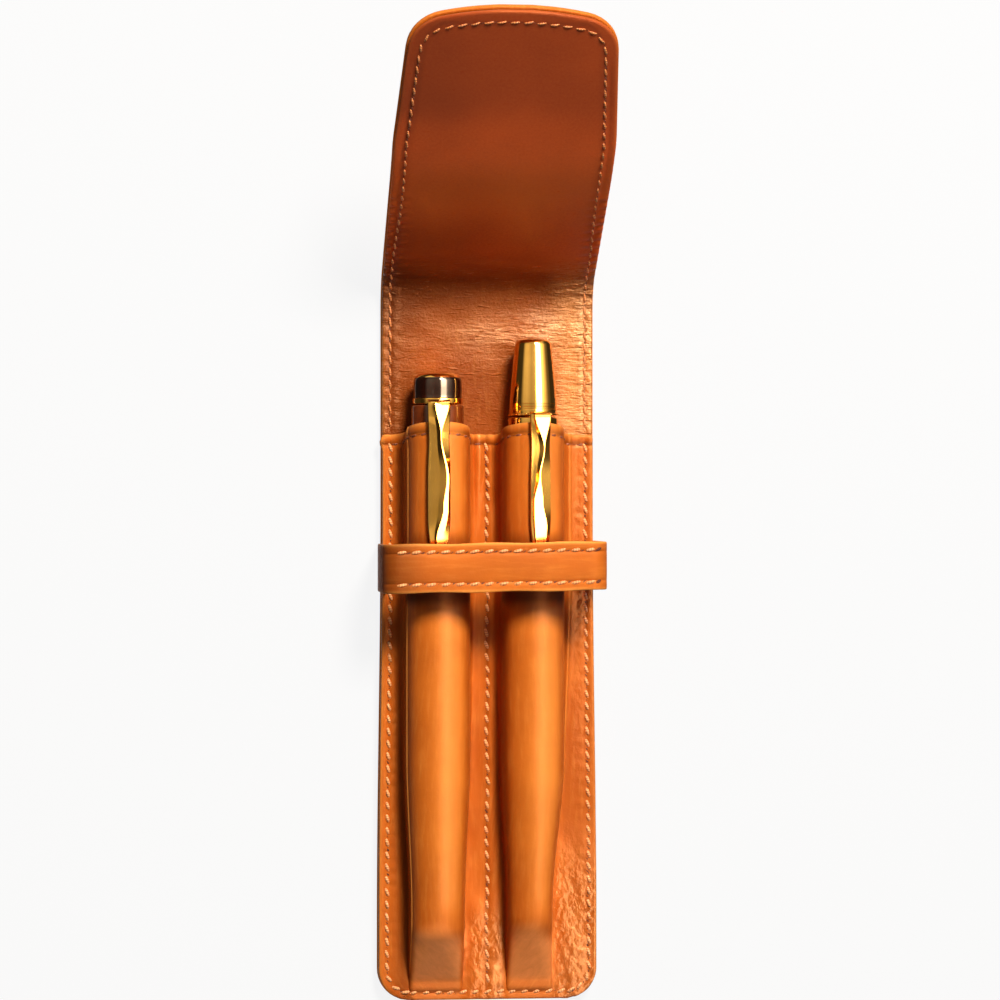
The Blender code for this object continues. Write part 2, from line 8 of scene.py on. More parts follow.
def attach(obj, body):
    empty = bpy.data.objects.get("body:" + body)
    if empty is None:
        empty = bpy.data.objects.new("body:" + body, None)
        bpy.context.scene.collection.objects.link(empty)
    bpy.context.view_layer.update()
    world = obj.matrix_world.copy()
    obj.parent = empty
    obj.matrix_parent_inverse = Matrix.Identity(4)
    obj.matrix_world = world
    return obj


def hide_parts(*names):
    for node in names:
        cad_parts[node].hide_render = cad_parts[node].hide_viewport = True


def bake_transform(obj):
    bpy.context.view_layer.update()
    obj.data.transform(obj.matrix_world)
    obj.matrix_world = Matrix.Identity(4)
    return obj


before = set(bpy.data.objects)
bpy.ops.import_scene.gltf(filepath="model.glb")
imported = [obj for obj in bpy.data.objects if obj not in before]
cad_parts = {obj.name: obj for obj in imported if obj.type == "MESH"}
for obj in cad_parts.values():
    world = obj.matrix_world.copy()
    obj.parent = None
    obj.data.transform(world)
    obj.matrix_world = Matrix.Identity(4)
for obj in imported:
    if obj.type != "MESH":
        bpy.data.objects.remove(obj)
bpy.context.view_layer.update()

# Lengths are metres. "along" runs on the lining from the closed end to the flap's tip.
caseSize = {
    "originAlong": 0.08575,      # the world origin lies this far along
    "liningZ": 0.0030,           # front face of the lining
    "backLength": 0.1715,        # where the flap starts to fold
    "foldRadius": 0.0095,
    "foldAngle": radians(57),
    "spineLength": 0.0090,
    "topFoldLength": 0.0160,
    "steepLength": 0.0356,
    "curlLength": 0.0200,
    "curlAngle": radians(16),
    "tipLength": 0.0324,
    "bottomHalfWidth": 0.0275,
    "waistHalfWidth": 0.0266,
    "waistFrom": 0.120,
    "flareTo": 0.020,
    "bottomCorner": 0.008,
    "tipHalfWidth": 0.0247,
    "tipCorner": 0.010,
    "tipEdgeRadius": 0.074,
    "taperFrom": 0.2310,
    "rim": 0.0003,               # the outer leather stands this far past the lining
}
foldEnd = caseSize["backLength"] + caseSize["foldRadius"] * caseSize["foldAngle"]
spineEnd = foldEnd + caseSize["spineLength"]
topFoldEnd = spineEnd + caseSize["topFoldLength"]
curlStart = foldEnd + caseSize["steepLength"]
curlEnd = curlStart + caseSize["curlLength"]
caseLength = curlEnd + caseSize["tipLength"]
splitAlong = (foldEnd + spineEnd) / 2
originAlong = caseSize["originAlong"]


# Helpers for shapes

def smoothStep(value):
    value = min(max(value, 0.0), 1.0)
    return value * value * (3 - 2 * value)


def mix(low, high, share):
    return low + (high - low) * share


def bell(value, width):
    return exp(-(value / width) ** 2)


def rise(value, start, width):
    return smoothStep((value - start) / width)


def fall(value, end, width):
    return smoothStep((end - value) / width)


def grain(*place):
    return noise.noise(Vector(place))


def thinned(rows, gap):
    kept = []
    for along in sorted(rows):
        if not kept or along - kept[-1] > gap:
            kept.append(along)
    return kept


def cornerRows(inset, first, step):
    # stations round the corners of the closed end, evenly spaced by angle
    corner = caseSize["bottomCorner"] - inset
    return [inset + corner * (1 - cos(radians(a))) for a in range(first, 91, step)]


def spread(start, end, step):
    count = max(1, round(abs(end - start) / step))
    return [mix(start, end, i / count) for i in range(count + 1)]


def keyed(table, value):
    # straight lines between (place, value) pairs, eased
    for (placeA, a), (placeB, b) in zip(table, table[1:]):
        if value <= placeB:
            return mix(a, b, smoothStep((value - placeA) / (placeB - placeA)))
    return table[-1][1]


def stripPoint(along):
    flat, radius, angle = caseSize["backLength"], caseSize["foldRadius"], caseSize["foldAngle"]
    if along <= flat:
        return along, caseSize["liningZ"], 0.0
    turned = min(along - flat, radius * angle) / radius
    y = flat + radius * sin(turned)
    z = caseSize["liningZ"] + radius * (1 - cos(turned))
    if along <= foldEnd:
        return y, z, turned
    straight = min(along, curlStart) - foldEnd
    y += straight * cos(angle)
    z += straight * sin(angle)
    if along <= curlStart:
        return y, z, angle
    curlRadius = caseSize["curlLength"] / caseSize["curlAngle"]
    heading = angle - min(along - curlStart, caseSize["curlLength"]) / curlRadius
    y += curlRadius * (sin(angle) - sin(heading))
    z += curlRadius * (cos(heading) - cos(angle))
    if along > curlEnd:
        y += (along - curlEnd) * cos(heading)
        z += (along - curlEnd) * sin(heading)
    return y, z, heading


def onStrip(x, along, height):
    y, z, heading = stripPoint(along)
    return (x, y - originAlong - height * sin(heading), z + height * cos(heading))


def stripNormal(along):
    heading = stripPoint(along)[2]
    return (0.0, -sin(heading), cos(heading))


def planHalfWidth(along):
    if along < caseSize["waistFrom"]:
        share = rise(along, caseSize["flareTo"], caseSize["waistFrom"] - caseSize["flareTo"])
        return mix(caseSize["bottomHalfWidth"], caseSize["waistHalfWidth"], share)
    taperEnd = caseLength - caseSize["tipCorner"]
    share = min(max((along - caseSize["taperFrom"]) / (taperEnd - caseSize["taperFrom"]), 0.0), 1.0)
    return mix(caseSize["waistHalfWidth"], caseSize["tipHalfWidth"], share)


def tipShape(inset):
    edge = caseSize["tipEdgeRadius"] - inset
    corner = caseSize["tipCorner"] - inset
    cornerX = caseSize["tipHalfWidth"] - inset - corner
    cornerBack = edge - sqrt((edge - corner) ** 2 - cornerX ** 2)
    edgeBack = edge - edge * (edge - cornerBack) / (edge - corner)
    return edge, corner, cornerX, cornerBack, edgeBack


def halfWidth(along, inset):
    wide = planHalfWidth(along) - inset
    fromBottom = along - inset
    corner = caseSize["bottomCorner"] - inset
    if fromBottom < corner:
        return wide - corner + sqrt(max(corner ** 2 - (corner - fromBottom) ** 2, 0.0))
    fromTip = caseLength - inset - along
    edge, corner, cornerX, cornerBack, edgeBack = tipShape(inset)
    if fromTip < edgeBack:
        return sqrt(max(edge ** 2 - (edge - fromTip) ** 2, 0.0))
    if fromTip < cornerBack:
        return min(wide, cornerX + sqrt(max(corner ** 2 - (cornerBack - fromTip) ** 2, 0.0)))
    return wide


def outlineRows(inset):
    # stations round the two ends, close together where the outline turns
    rows = cornerRows(inset, 0, 9)
    edge, corner, cornerX, cornerBack, edgeBack = tipShape(inset)
    tip = caseLength - inset
    reach = edge * cornerX / (edge - corner)
    rows += [tip - edge + sqrt(edge ** 2 - (reach * i / 6) ** 2) for i in range(1, 7)]
    steepest = acos(cornerX / (edge - corner))
    rows += [tip - cornerBack + corner * sin(steepest * i / 8) for i in range(9)]
    return rows


def squarer(value):
    # a cut edge is flatter than a half round
    return copysign(abs(value) ** 0.62, value)


def leatherSheet(name, middle, places, thickness, openStart=False, openEnd=False, rollSteps=6):
    # A sheet of leather: front and back faces a thickness apart, joined by a rolled edge.
    # middle is a grid of points halfway through it, places the same grid laid flat (for its texture).
    middle = np.array(middle, float)
    flat = np.array(places, float)
    rows, columns = middle.shape[:2]
    normal = np.cross(np.gradient(middle, axis=1), np.gradient(middle, axis=0))
    normal /= np.maximum(np.linalg.norm(normal, axis=2, keepdims=True), 1e-12)
    reach = thickness / 2
    front, back = middle + normal * reach, middle - normal * reach

    loop = [(0, j) for j in range(columns)] + [(i, columns - 1) for i in range(1, rows)]
    loop += [(rows - 1, j) for j in range(columns - 2, -1, -1)] + [(i, 0) for i in range(rows - 2, 0, -1)]
    count = len(loop)

    def skipped(a, b):
        return (openStart and a[0] == b[0] == 0) or (openEnd and a[0] == b[0] == rows - 1)

    points = [p for grid in (front, back) for p in grid.reshape(-1, 3)]
    laid = [p for grid in (flat, flat) for p in grid.reshape(-1, 2)]
    rings = []
    for step in range(1, rollSteps):
        turn = pi * step / rollSteps
        ring = []
        for n, (i, j) in enumerate(loop):
            before, after = loop[n - 1], loop[(n + 1) % count]
            if skipped(before, (i, j)):
                before = (i, j)
            if skipped((i, j), after):
                after = (i, j)
            run = middle[after] - middle[before]
            out = np.cross(run, normal[i, j])
            out /= max(np.linalg.norm(out), 1e-12)
            flatRun = flat[after] - flat[before]
            flatOut = np.array((flatRun[1], -flatRun[0]))
            flatOut /= max(np.linalg.norm(flatOut), 1e-12)
            ring.append(len(points))
            rolled = normal[i, j] * squarer(cos(turn)) + out * squarer(sin(turn))
            points.append(middle[i, j] + reach * rolled)
            laid.append(flat[i, j] + flatOut * reach * turn)
        rings.append(ring)
    total = rows * columns
    faces = []
    for i in range(rows - 1):
        for j in range(columns - 1):
            a, b = i * columns + j, i * columns + j + 1
            c, d = a + columns, b + columns
            faces.append((a, b, d, c))
            faces.append((total + a, total + c, total + d, total + b))
    frontLoop = [i * columns + j for i, j in loop]
    chain = [frontLoop] + rings + [[total + n for n in frontLoop]]
    for near, far in zip(chain, chain[1:]):
        for n in range(count):
            m = (n + 1) % count
            if not skipped(loop[n], loop[m]):
                faces.append((near[m], near[n], far[n], far[m]))
    return meshPiece(name, points, faces, laid)


def ringFaces(first, rings, sides, closed=False):
    # quads between rings of points laid one after another, and a flat face on each open end
    faces = []
    for r in range(rings if closed else rings - 1):
        near, far = first + r * sides, first + (r + 1) % rings * sides
        for s in range(sides):
            t = (s + 1) % sides
            faces.append((near + s, near + t, far + t, far + s))
    if not closed:
        faces.append(tuple(range(first, first + sides))[::-1])
        faces.append(tuple(range(first + (rings - 1) * sides, first + rings * sides)))
    return faces


def meshPiece(name, points, faces, laid=None, sharpAngle=50):
    mesh = bpy.data.meshes.new(name)
    mesh.from_pydata([tuple(p) for p in points], [], faces)
    if laid is not None:
        layer = mesh.uv_layers.new(name="laidFlat")
        corners = np.empty(len(mesh.loops), np.int32)
        mesh.loops.foreach_get("vertex_index", corners)
        layer.data.foreach_set("uv", (np.array(laid, np.float32)[corners] * 10).ravel())
    mesh.validate()
    mesh.update()
    mesh.shade_smooth()
    mesh.set_sharp_from_angle(angle=radians(sharpAngle))
    piece = bpy.data.objects.new(name, mesh)
    bpy.context.scene.collection.objects.link(piece)
    return piece


# Materials

class Tree:
    # the node tree of a material or world: sockets are linked, other values are set

    def __init__(self, owner):
        owner.use_nodes = True
        self.owner, self.nodes = owner, owner.node_tree.nodes
        self.shader = self.nodes.get("Principled BSDF")

    def put(self, value, socket):
        if isinstance(value, bpy.types.NodeSocket):
            self.owner.node_tree.links.new(value, socket)
        elif isinstance(value, tuple) and socket.type == "RGBA":
            socket.default_value = (*value, 1)
        else:
            socket.default_value = value

    def add(self, kind, inputs, out=0, **settings):
        node = self.nodes.new("ShaderNode" + kind)
        for key, value in settings.items():
            setattr(node, key, value)
        for key, value in inputs.items():
            self.put(value, node.inputs[key])
        return node.outputs[out]

    def painted(self, name):
        return self.add("Attribute", {}, "Fac", attribute_name=name)

    def laid(self, kind, scale, stretch, out, inputs, **settings):
        # a texture laid on the piece's flat map
        place = self.add("UVMap", {}, "UV", uv_map="laidFlat")
        place = self.add("Mapping", {"Vector": place, "Scale": stretch}, "Vector")
        return self.add(kind, {"Vector": place, "Scale": scale, **inputs}, out, **settings)

    def noise(self, scale, detail, rough=0.5, stretch=(1, 1, 1), bent=0.0, **settings):
        inputs = {"Detail": detail, "Roughness": rough, "Distortion": bent}
        return self.laid("TexNoise", scale, stretch, "Fac", inputs, **settings)

    def inSpace(self, stretch, turn, inputs):
        # noise laid in the piece's own space
        place = self.add("TexCoord", {}, "Object")
        place = self.add("Mapping", {"Vector": place, "Rotation": (0, 0, turn), "Scale": stretch}, "Vector")
        return self.add("TexNoise", {"Vector": place, **inputs}, "Fac")

    def range(self, source, low, high, outLow=0.0, outHigh=1.0):
        limits = {"From Min": low, "From Max": high, "To Min": outLow, "To Max": outHigh}
        return self.add("MapRange", {"Value": source, **limits}, "Result")

    def mix(self, share, a, b, kind="MIX"):
        return self.add("Mix", {0: share, 6: a, 7: b}, 2, data_type="RGBA", blend_type=kind)

    def combine(self, kind, a, b):
        return self.add("Math", {0: a, 1: b}, operation=kind)

    def bump(self, height, strength, distance, under=None):
        inputs = {"Height": height, "Strength": strength, "Distance": distance}
        if under is not None:
            inputs["Normal"] = under
        return self.add("Bump", inputs, "Normal")

    def shade(self, inputs):
        for key, value in inputs.items():
            self.put(value, self.shader.inputs[key])
        return self.owner

    def lit(self, surface):
        self.put(surface, self.nodes["Material Output"].inputs["Surface"])
        return self.owner


def treeOf(name):
    return Tree(bpy.data.materials.new(name))


def leatherLook(name, look):
    tree = treeOf(name)
    cloud = tree.noise(look["cloudScale"], 4.0, 0.55)
    streak = tree.noise(30, 5.0, 0.6, look["streakStretch"])
    pore = tree.laid("TexVoronoi", look["poreScale"], (1, 1, 1), "Distance", {"Smoothness": 0.35},
                     feature="SMOOTH_F1")
    crease = tree.noise(look["creaseScale"], 2.0, 0.5, look["creaseStretch"], 0.5,
                        noise_type="RIDGED_MULTIFRACTAL")
    fine = tree.noise(look["fineScale"], 6.0, 0.7, look["creaseStretch"], 0.6)
    pebble = tree.inSpace(look["pebbleStretch"], look["pebbleTurn"],
                          {"Scale": 520.0, "Detail": 2.0, "Roughness": 0.45, "Distortion": 0.2})

    def patchy(painted, source, low, high):
        return tree.combine("MULTIPLY", tree.painted(painted), tree.range(source, 0.3, 0.7, low, high))

    # colour: the leather's own tone, streaks and grain lines, then edge wear with painted highlight, painted
    # shade, painted sheen and the painted crown highlight
    colour = tree.mix(tree.range(cloud, 0.32, 0.68), look["deep"], look["base"])
    for share, tone in (
        (tree.range(streak, 0.48, 0.75, 0.0, look["streakAmount"]), "pale"),
        (tree.range(crease, 0.9, 0.3, 0.0, look["creaseDark"]), "line"),
        (patchy("wearAndHighlight", fine, 0.6, 1.0), "pale"),
        (tree.painted("shaded"), "line"),
        (patchy("paintedSheen", fine, 0.65, 1.0), "sheenTone"),
        (patchy("pullUpHighlight", cloud, 0.45, 0.75), "pullUpHighlight"),
    ):
        colour = tree.mix(share, colour, look[tone])

    shine, pullUpHighlight = tree.painted("shine"), tree.painted("pullUpHighlight")
    gloss = tree.range(fine, 0.3, 0.7, look["roughness"] - 0.06, look["roughness"] + 0.08)
    gloss = tree.combine("MULTIPLY", gloss, tree.range(shine, 0.0, 1.0, 1.0, 0.55))
    level = tree.range(shine, 0.0, 1.0, look["specular"], look["polish"])
    level = tree.combine("MAXIMUM", level, tree.range(pullUpHighlight, 0.35, 1.0, 0.0, 0.29))
    level = tree.combine("MAXIMUM", level, tree.range(tree.painted("paintedSheen"), 0.3, 1.0, 0.0, 0.36))
    bump = tree.bump(tree.range(crease, 0.2, 1.0), look["creaseStrength"], look["creaseDepth"])
    bump = tree.bump(fine, look["fineStrength"], 0.00022, bump)
    bump = tree.bump(pore, look["poreStrength"], look["poreDepth"], bump)
    bump = tree.bump(tree.combine("MULTIPLY", pebble, shine), look["pebbleStrength"], 0.0008, bump)
    tree.shade({"Base Color": colour, "Roughness": gloss, "Specular IOR Level": level,
                "Specular Tint": tree.mix(pullUpHighlight, look["sheen"], (1.0, 0.82, 0.60)), "Normal": bump})
    return tree


glazedTan = {
    "base": (0.560, 0.112, 0.0085),
    "deep": (0.440, 0.080, 0.0060),
    "pale": (0.940, 0.340, 0.0600),
    # line: the dark of grain lines, and the colour that painted shade mixes toward
    "line": (0.070, 0.009, 0.0010),
    # pale colour of painted sheen, haze and glints
    "sheenTone": (1.000, 0.315, 0.0830),
    "sheen": (1.0, 0.66, 0.32),
    # pale colour of the painted highlight on the tube crowns, partly the pull-up of stretched leather
    "pullUpHighlight": (0.860, 0.245, 0.0260),
    "roughness": 0.43, "specular": 0.12, "polish": 0.45,
    "cloudScale": 5.5, "streakStretch": (3.0, 0.35, 1), "streakAmount": 0.22,
    "poreScale": 210.0, "poreStrength": 0.25, "poreDepth": 0.00006,
    "creaseScale": 60.0, "creaseStretch": (1.0, 0.8, 1), "creaseStrength": 0.05, "creaseDark": 0.05,
    "creaseDepth": 0.00024, "fineScale": 55.0, "fineStrength": 0.18,
    "pebbleTurn": -0.7, "pebbleStretch": (1.3, 0.9, 0.4), "pebbleStrength": 0.5,
}
wrinkledTan = dict(
    glazedTan, base=(0.560, 0.112, 0.0110), deep=(0.400, 0.070, 0.0070), pale=(0.900, 0.320, 0.0600),
    roughness=0.31, specular=0.13, polish=1.0, sheen=(1.0, 0.60, 0.30),
    pebbleTurn=0.0, pebbleStretch=(0.40, 2.1, 1.0), pebbleStrength=1.0,
    creaseScale=85.0, creaseStretch=(0.36, 1.55, 1), creaseStrength=1.0, creaseDark=0.62,
    creaseDepth=0.00042, fineScale=110.0, fineStrength=0.7,
    poreScale=170.0, poreStrength=0.5, poreDepth=0.00010,
)
smoothLining = dict(
    glazedTan, base=(0.640, 0.086, 0.0140), deep=(0.480, 0.060, 0.0105), pale=(0.950, 0.205, 0.0400),
    line=(0.088, 0.014, 0.0060), roughness=0.46, specular=0.16,
    creaseScale=80.0, creaseStretch=(0.8, 1.2, 1), creaseStrength=0.12, creaseDark=0.06,
    fineScale=60.0, fineStrength=0.30,
)
strapTan = dict(glazedTan, base=(0.600, 0.132, 0.012), deep=(0.460, 0.090, 0.0085),
                streakStretch=(0.35, 3.0, 1))
panelLeather = leatherLook("panelLeather", glazedTan).owner
outerLeather = leatherLook("outerLeather", dict(glazedTan, cloudScale=4.0, fineStrength=0.3)).owner
strapLeather = leatherLook("strapLeather", strapTan).owner
backingLeather = leatherLook("backingLeather", dict(smoothLining, poreStrength=0.5)).owner


def blendedLiningLook():
    # wrinkled and shiny below the fold, smooth up the flap, where painted shade makes it darker
    tree = leatherLook("liningLeather", wrinkledTan)
    calm = tree.painted("calm")
    cloud = tree.range(tree.noise(4.5, 3.0), 0.3, 0.7)
    smooth = tree.mix(cloud, smoothLining["deep"], smoothLining["base"])
    mottled = tree.range(tree.noise(150, 5.0, 0.7), 0.35, 0.7, 0.0, 0.25)
    wearAndHighlight, shaded = tree.painted("wearAndHighlight"), tree.painted("shaded")
    for share, tone in ((mottled, "pale"), (wearAndHighlight, "pale"), (shaded, "line")):
        smooth = tree.mix(share, smooth, smoothLining[tone])
    soft = tree.bump(tree.noise(60, 5.0, 0.6), 0.25, 0.00015)
    colour, level, bump = (tree.shader.inputs[key].links[0].from_socket
                           for key in ("Base Color", "Specular IOR Level", "Normal"))
    return tree.shade({
        "Base Color": tree.mix(calm, colour, smooth),
        "Specular IOR Level": tree.add("Mix", {0: calm, 2: level, 3: smoothLining["specular"]}),
        "Normal": tree.add("Mix", {0: calm, 4: bump, 5: soft}, 1, data_type="VECTOR"),
    })


liningLook = blendedLiningLook()


def threadLook(name, low, high, tip):
    tree = treeOf(name)
    twist = tree.laid("TexWave", 9.0, (0.25, 1, 1), "Fac", {"Distortion": 1.2, "Detail": 2.0},
                      wave_type="BANDS", bands_direction="DIAGONAL")
    fuzz = tree.noise(60.0, 5.0, 0.7)
    return tree.shade({
        "Base Color": tree.mix(tree.range(fuzz, 0.4, 0.7, 0.0, 0.4), tree.mix(twist, low, high), tip),
        "Roughness": tree.range(fuzz, 0.3, 0.7, 0.45, 0.65),
        "Specular IOR Level": 0.35,
        "Normal": tree.bump(fuzz, 0.3, 0.00003, tree.bump(twist, 0.45, 0.00007)),
    })


# a needle hole is drawn as a flat dark patch: painted shade standing for its depth
def holeShadeLook():
    tree = treeOf("holeShade")
    fuzz = tree.noise(80.0, 4.0)
    return tree.shade({
        "Base Color": tree.mix(tree.range(fuzz, 0.3, 0.7), (0.055, 0.010, 0.003), (0.130, 0.024, 0.006)),
        "Roughness": tree.range(fuzz, 0.3, 0.7, 0.6, 0.85),
        "Specular IOR Level": 0.2,
    })


def lacquerLook(name, deep, light):
    tree = treeOf(name)
    cloud = tree.noise(40.0, 5.0, 0.6)
    return tree.shade({
        "Base Color": tree.mix(tree.range(cloud, 0.3, 0.7), deep, light),
        "Roughness": tree.range(cloud, 0.3, 0.7, 0.06, 0.10),
        "IOR": 1.68,
        "Specular IOR Level": 0.5,
        "Specular Tint": (1.0, 0.78, 0.56),
        "Normal": tree.bump(cloud, 0.03, 0.00003),
    })


def goldLook(name, base, roughness):
    tree = treeOf(name)
    cloud = tree.noise(25.0, 5.0, 0.6)
    scratch = tree.noise(160.0, 6.0, 0.75, (1, 0.06, 1))
    deep = tuple(c * s for c, s in zip(base, (0.92, 0.88, 0.80)))
    return tree.shade({
        "Base Color": tree.mix(tree.range(cloud, 0.3, 0.7), deep, base),
        "Roughness": tree.range(scratch, 0.3, 0.8, roughness * 0.7, roughness * 1.7),
        "Metallic": 1.0,
        "Normal": tree.bump(scratch, 0.04, 0.00003),
    })


def plainLook(name, light, dark, roughness, metallic, scale, strength):
    tree = treeOf(name)
    grain = tree.inSpace((1, 1, 1), 0.0, {"Scale": scale, "Detail": 6.0})
    return tree.shade({
        "Base Color": tree.mix(tree.range(grain, 0.35, 0.65), dark, light),
        "Roughness": tree.range(grain, 0.3, 0.7, roughness * 0.8, roughness * 1.2),
        "Metallic": metallic,
        "Normal": tree.bump(grain, strength, 0.0001),
    })


waxedThread = threadLook("waxedThread", (0.500, 0.125, 0.022), (0.880, 0.370, 0.110), (1.0, 0.580, 0.250))
hemThread = threadLook("hemThread", (0.060, 0.009, 0.002), (0.240, 0.050, 0.010), (0.420, 0.120, 0.030))
tonedThread = threadLook("tonedThread", (0.260, 0.048, 0.008), (0.660, 0.200, 0.036), (0.860, 0.360, 0.1))
holeShade = holeShadeLook()
mirrorGold = goldLook("mirrorGold", (0.930, 0.490, 0.095), 0.085)
clipGold = goldLook("clipGold", (0.940, 0.490, 0.090), 0.130)
darkLacquer = lacquerLook("darkLacquer", (0.007, 0.0011, 0.0006), (0.022, 0.0036, 0.0014))
redLacquer = lacquerLook("redLacquer", (0.120, 0.0180, 0.0030), (0.220, 0.0400, 0.0065))
fibreBoard = plainLook("fibreBoard", (0.42, 0.38, 0.33), (0.28, 0.25, 0.21), 0.9, 0.0, 900, 0.6)
satinBlack = plainLook("satinBlack", (0.022, 0.022, 0.024), (0.012, 0.012, 0.013), 0.28, 0.0, 300, 0.05)
pointSteel = plainLook("pointSteel", (0.66, 0.66, 0.65), (0.50, 0.50, 0.50), 0.2, 1.0, 500, 0.08)
inkTube = plainLook("inkTube", (0.06, 0.09, 0.34), (0.03, 0.05, 0.22), 0.3, 0.0, 200, 0.05)
tubeGold = plainLook("tubeGold", (0.930, 0.490, 0.095), (0.840, 0.440, 0.080), 0.09, 1.0, 400, 0.02)
print("materials made")


def paintPoints(piece, name, values):
    # point values that the leather materials read: edge wear with painted highlight, painted shade, shine,
    # painted sheen, painted crown highlight, calm
    layer = piece.data.attributes.new(name, "FLOAT", "POINT")
    layer.data.foreach_set("value", np.array(values, np.float32))


# Back and flap: an outer skin and a lining, each made in two lengths that meet in the spine

skins = {
    "wrinkleHeight": 0.00022,
    "rippleHeight": 0.00018,
    "outerRipple": 0.00010,
    "foldPucker": 0.00034,
    "puckerPitch": 0.0031,
    "seamInset": 0.0023,
    "edgePress": 0.00022,        # how far the seam presses the two skins together at the edge
    "pressWidth": 0.0014,
    "edgeSteps": (0.0, 0.0004, 0.0009, 0.0014, 0.0019, 0.0025, 0.0033),
    "strapFrom": 0.1015,         # under the strap's ends the skins aren't pressed together
    "strapTo": 0.1148,
    "strapFade": 0.0010,
    "fineTo": 0.214,
}
outerThickness = 0.0013


def edgeColumns(wide, innerCount):
    steps = skins["edgeSteps"]
    if wide < 0.008:
        steps = [min(step, wide * 0.45 * i / len(steps)) for i, step in enumerate(steps)]
    inner = wide - steps[-1]
    middle = [mix(-inner, inner, i / innerCount) for i in range(1, innerCount)]
    return [-wide + step for step in steps] + middle + [wide - step for step in reversed(steps)]


def rowsBetween(start, end, inset, fineFrom, fineTo, fineStep, coarseStep):
    rows = [start, end, *spread(start, end, coarseStep)]
    rows += [r for r in outlineRows(inset) + spread(fineFrom, fineTo, fineStep) if start < r < end]
    return thinned(rows, 0.00012)[:-1] + [end]


def strapGap(along):
    fade = skins["strapFade"]
    return 1 - rise(along, skins["strapFrom"], fade) * fall(along, skins["strapTo"], fade)


def onFlap(along):
    return rise(along, 0.1780, 0.014)


def calmShare(along):
    return rise(along, 0.176, 0.018)


def stripSheet(name, skin, rows, onward):
    # inset is the sheet's own edge; its middle keeps half a thickness inside it for the rolled edge
    thickness = skin["thickness"]
    keep = skin["inset"] + thickness / 2
    grid = []
    for along in rows:
        wide = halfWidth(min(max(along, keep + 1e-5), caseLength - keep - 1e-5), keep)
        press = skin["press"] * mix(1.0, 0.3, onFlap(along)) * (strapGap(along) if along < 0.13 else 1)
        line = []
        for x in edgeColumns(wide, skin["columns"]):
            fromEdge = min(wide - abs(x), along - keep if along < 0.02 else 1, caseLength - keep - along)
            pressed = press * bell(max(fromEdge, 0.0), skins["pressWidth"])
            height = -skin["depth"] - thickness / 2 + pressed + skin["lift"](x, along)
            line.append((onStrip(x, along, height), (x, along)))
        grid.append(line)
    middle, laid = ([[pair[k] for pair in line] for line in grid] for k in (0, 1))
    return leatherSheet(name, middle, laid, thickness, onward, not onward)


def liningLift(x, along):
    # fine creases where the leather has been folded, and soft ripples beside the seams
    creased = rise(along, 0.138, 0.012) * fall(along, 0.196, 0.012)
    waves = grain(x * 110, along * 330, 0.3) * 0.7 + grain(x * 260, along * 420, 2.1) * 0.3
    side = abs(abs(x) - halfWidth(min(max(along, 0.004), caseLength - 0.004), skins["seamInset"]))
    turn = 2 * pi * along / skins["puckerPitch"]
    pucker = -bell(side, 0.0006) * (0.7 + 0.3 * cos(turn))
    pucker += 0.55 * bell(side - 0.0013, 0.0007) * cos(turn + 1.1)
    pucker *= fall(along, caseLength - 0.0125, 0.004)
    broad = grain(x * 60, along * 60, 5.0) * (0.3 + 0.7 * creased)
    return (skins["wrinkleHeight"] * waves * creased + skins["rippleHeight"] * broad
            + skins["foldPucker"] * pucker)


def outerLift(x, along):
    return skins["outerRipple"] * grain(x * 45, along * 40, 9.0)


def fromOutline(x, along):
    wide = halfWidth(min(max(along, 0.0009), caseLength - 0.0009), 0.0)
    return min(wide - abs(x), along, caseLength - along)


def laidPlaces(piece):
    # each point's place across and along the strip, as kept in its flat map
    mesh = piece.data
    corners, laid = np.empty(len(mesh.loops), np.int32), np.empty(2 * len(mesh.loops), np.float32)
    mesh.loops.foreach_get("vertex_index", corners)
    mesh.uv_layers["laidFlat"].data.foreach_get("uv", laid)
    places = np.zeros((len(mesh.vertices), 2))
    places[corners] = laid.reshape(-1, 2).astype(float) / 10
    return places.tolist()


def liningPaint(x, along, edge):
    # painted shade, shine and painted highlight of the lining: glossy at the root's right, dark in the fold
    # and to the tip
    wrinkled = 1 - calmShare(along)
    root = bell(along - 0.1650, 0.0066) * min(max(0.80 + 0.9 * grain(x * 120, along * 160, 6.4), 0.2), 1.0)
    sunny = mix(0.25, 1.0, rise(x, -0.014, 0.034)) * wrinkled
    shine = sunny * max(0.75 * fall(edge, 0.0052, 0.0016), root, 0.5 * rise(x, 0.013, 0.006))
    # painted shade at the left and towards the tip; painted highlight on the right and across the middle of
    # the flap
    left = fall(x, 0.004, 0.028)
    tone = rise(along, 0.223, 0.022) * mix(0.53, 0.62, left) + 0.11 * left * bell(along - 0.240, 0.010)
    tone += 0.24 * left * calmShare(along) * fall(along, 0.208, 0.014)
    tone += 0.66 * mix(0.6, 1.0, left) * bell(along - 0.1755, 0.0085)
    tone += 0.22 * rise(-x, 0.014, 0.008) * wrinkled
    tone += 0.16 * bell(along - 0.196, 0.012) * mix(0.2, 1.0, left)
    wearAndHighlight = max(0.35 * rise(x, 0.012, 0.010) * wrinkled,
               0.42 * bell(along - 0.216, 0.011) * mix(1.0, 0.6, left))
    return tone, shine, wearAndHighlight


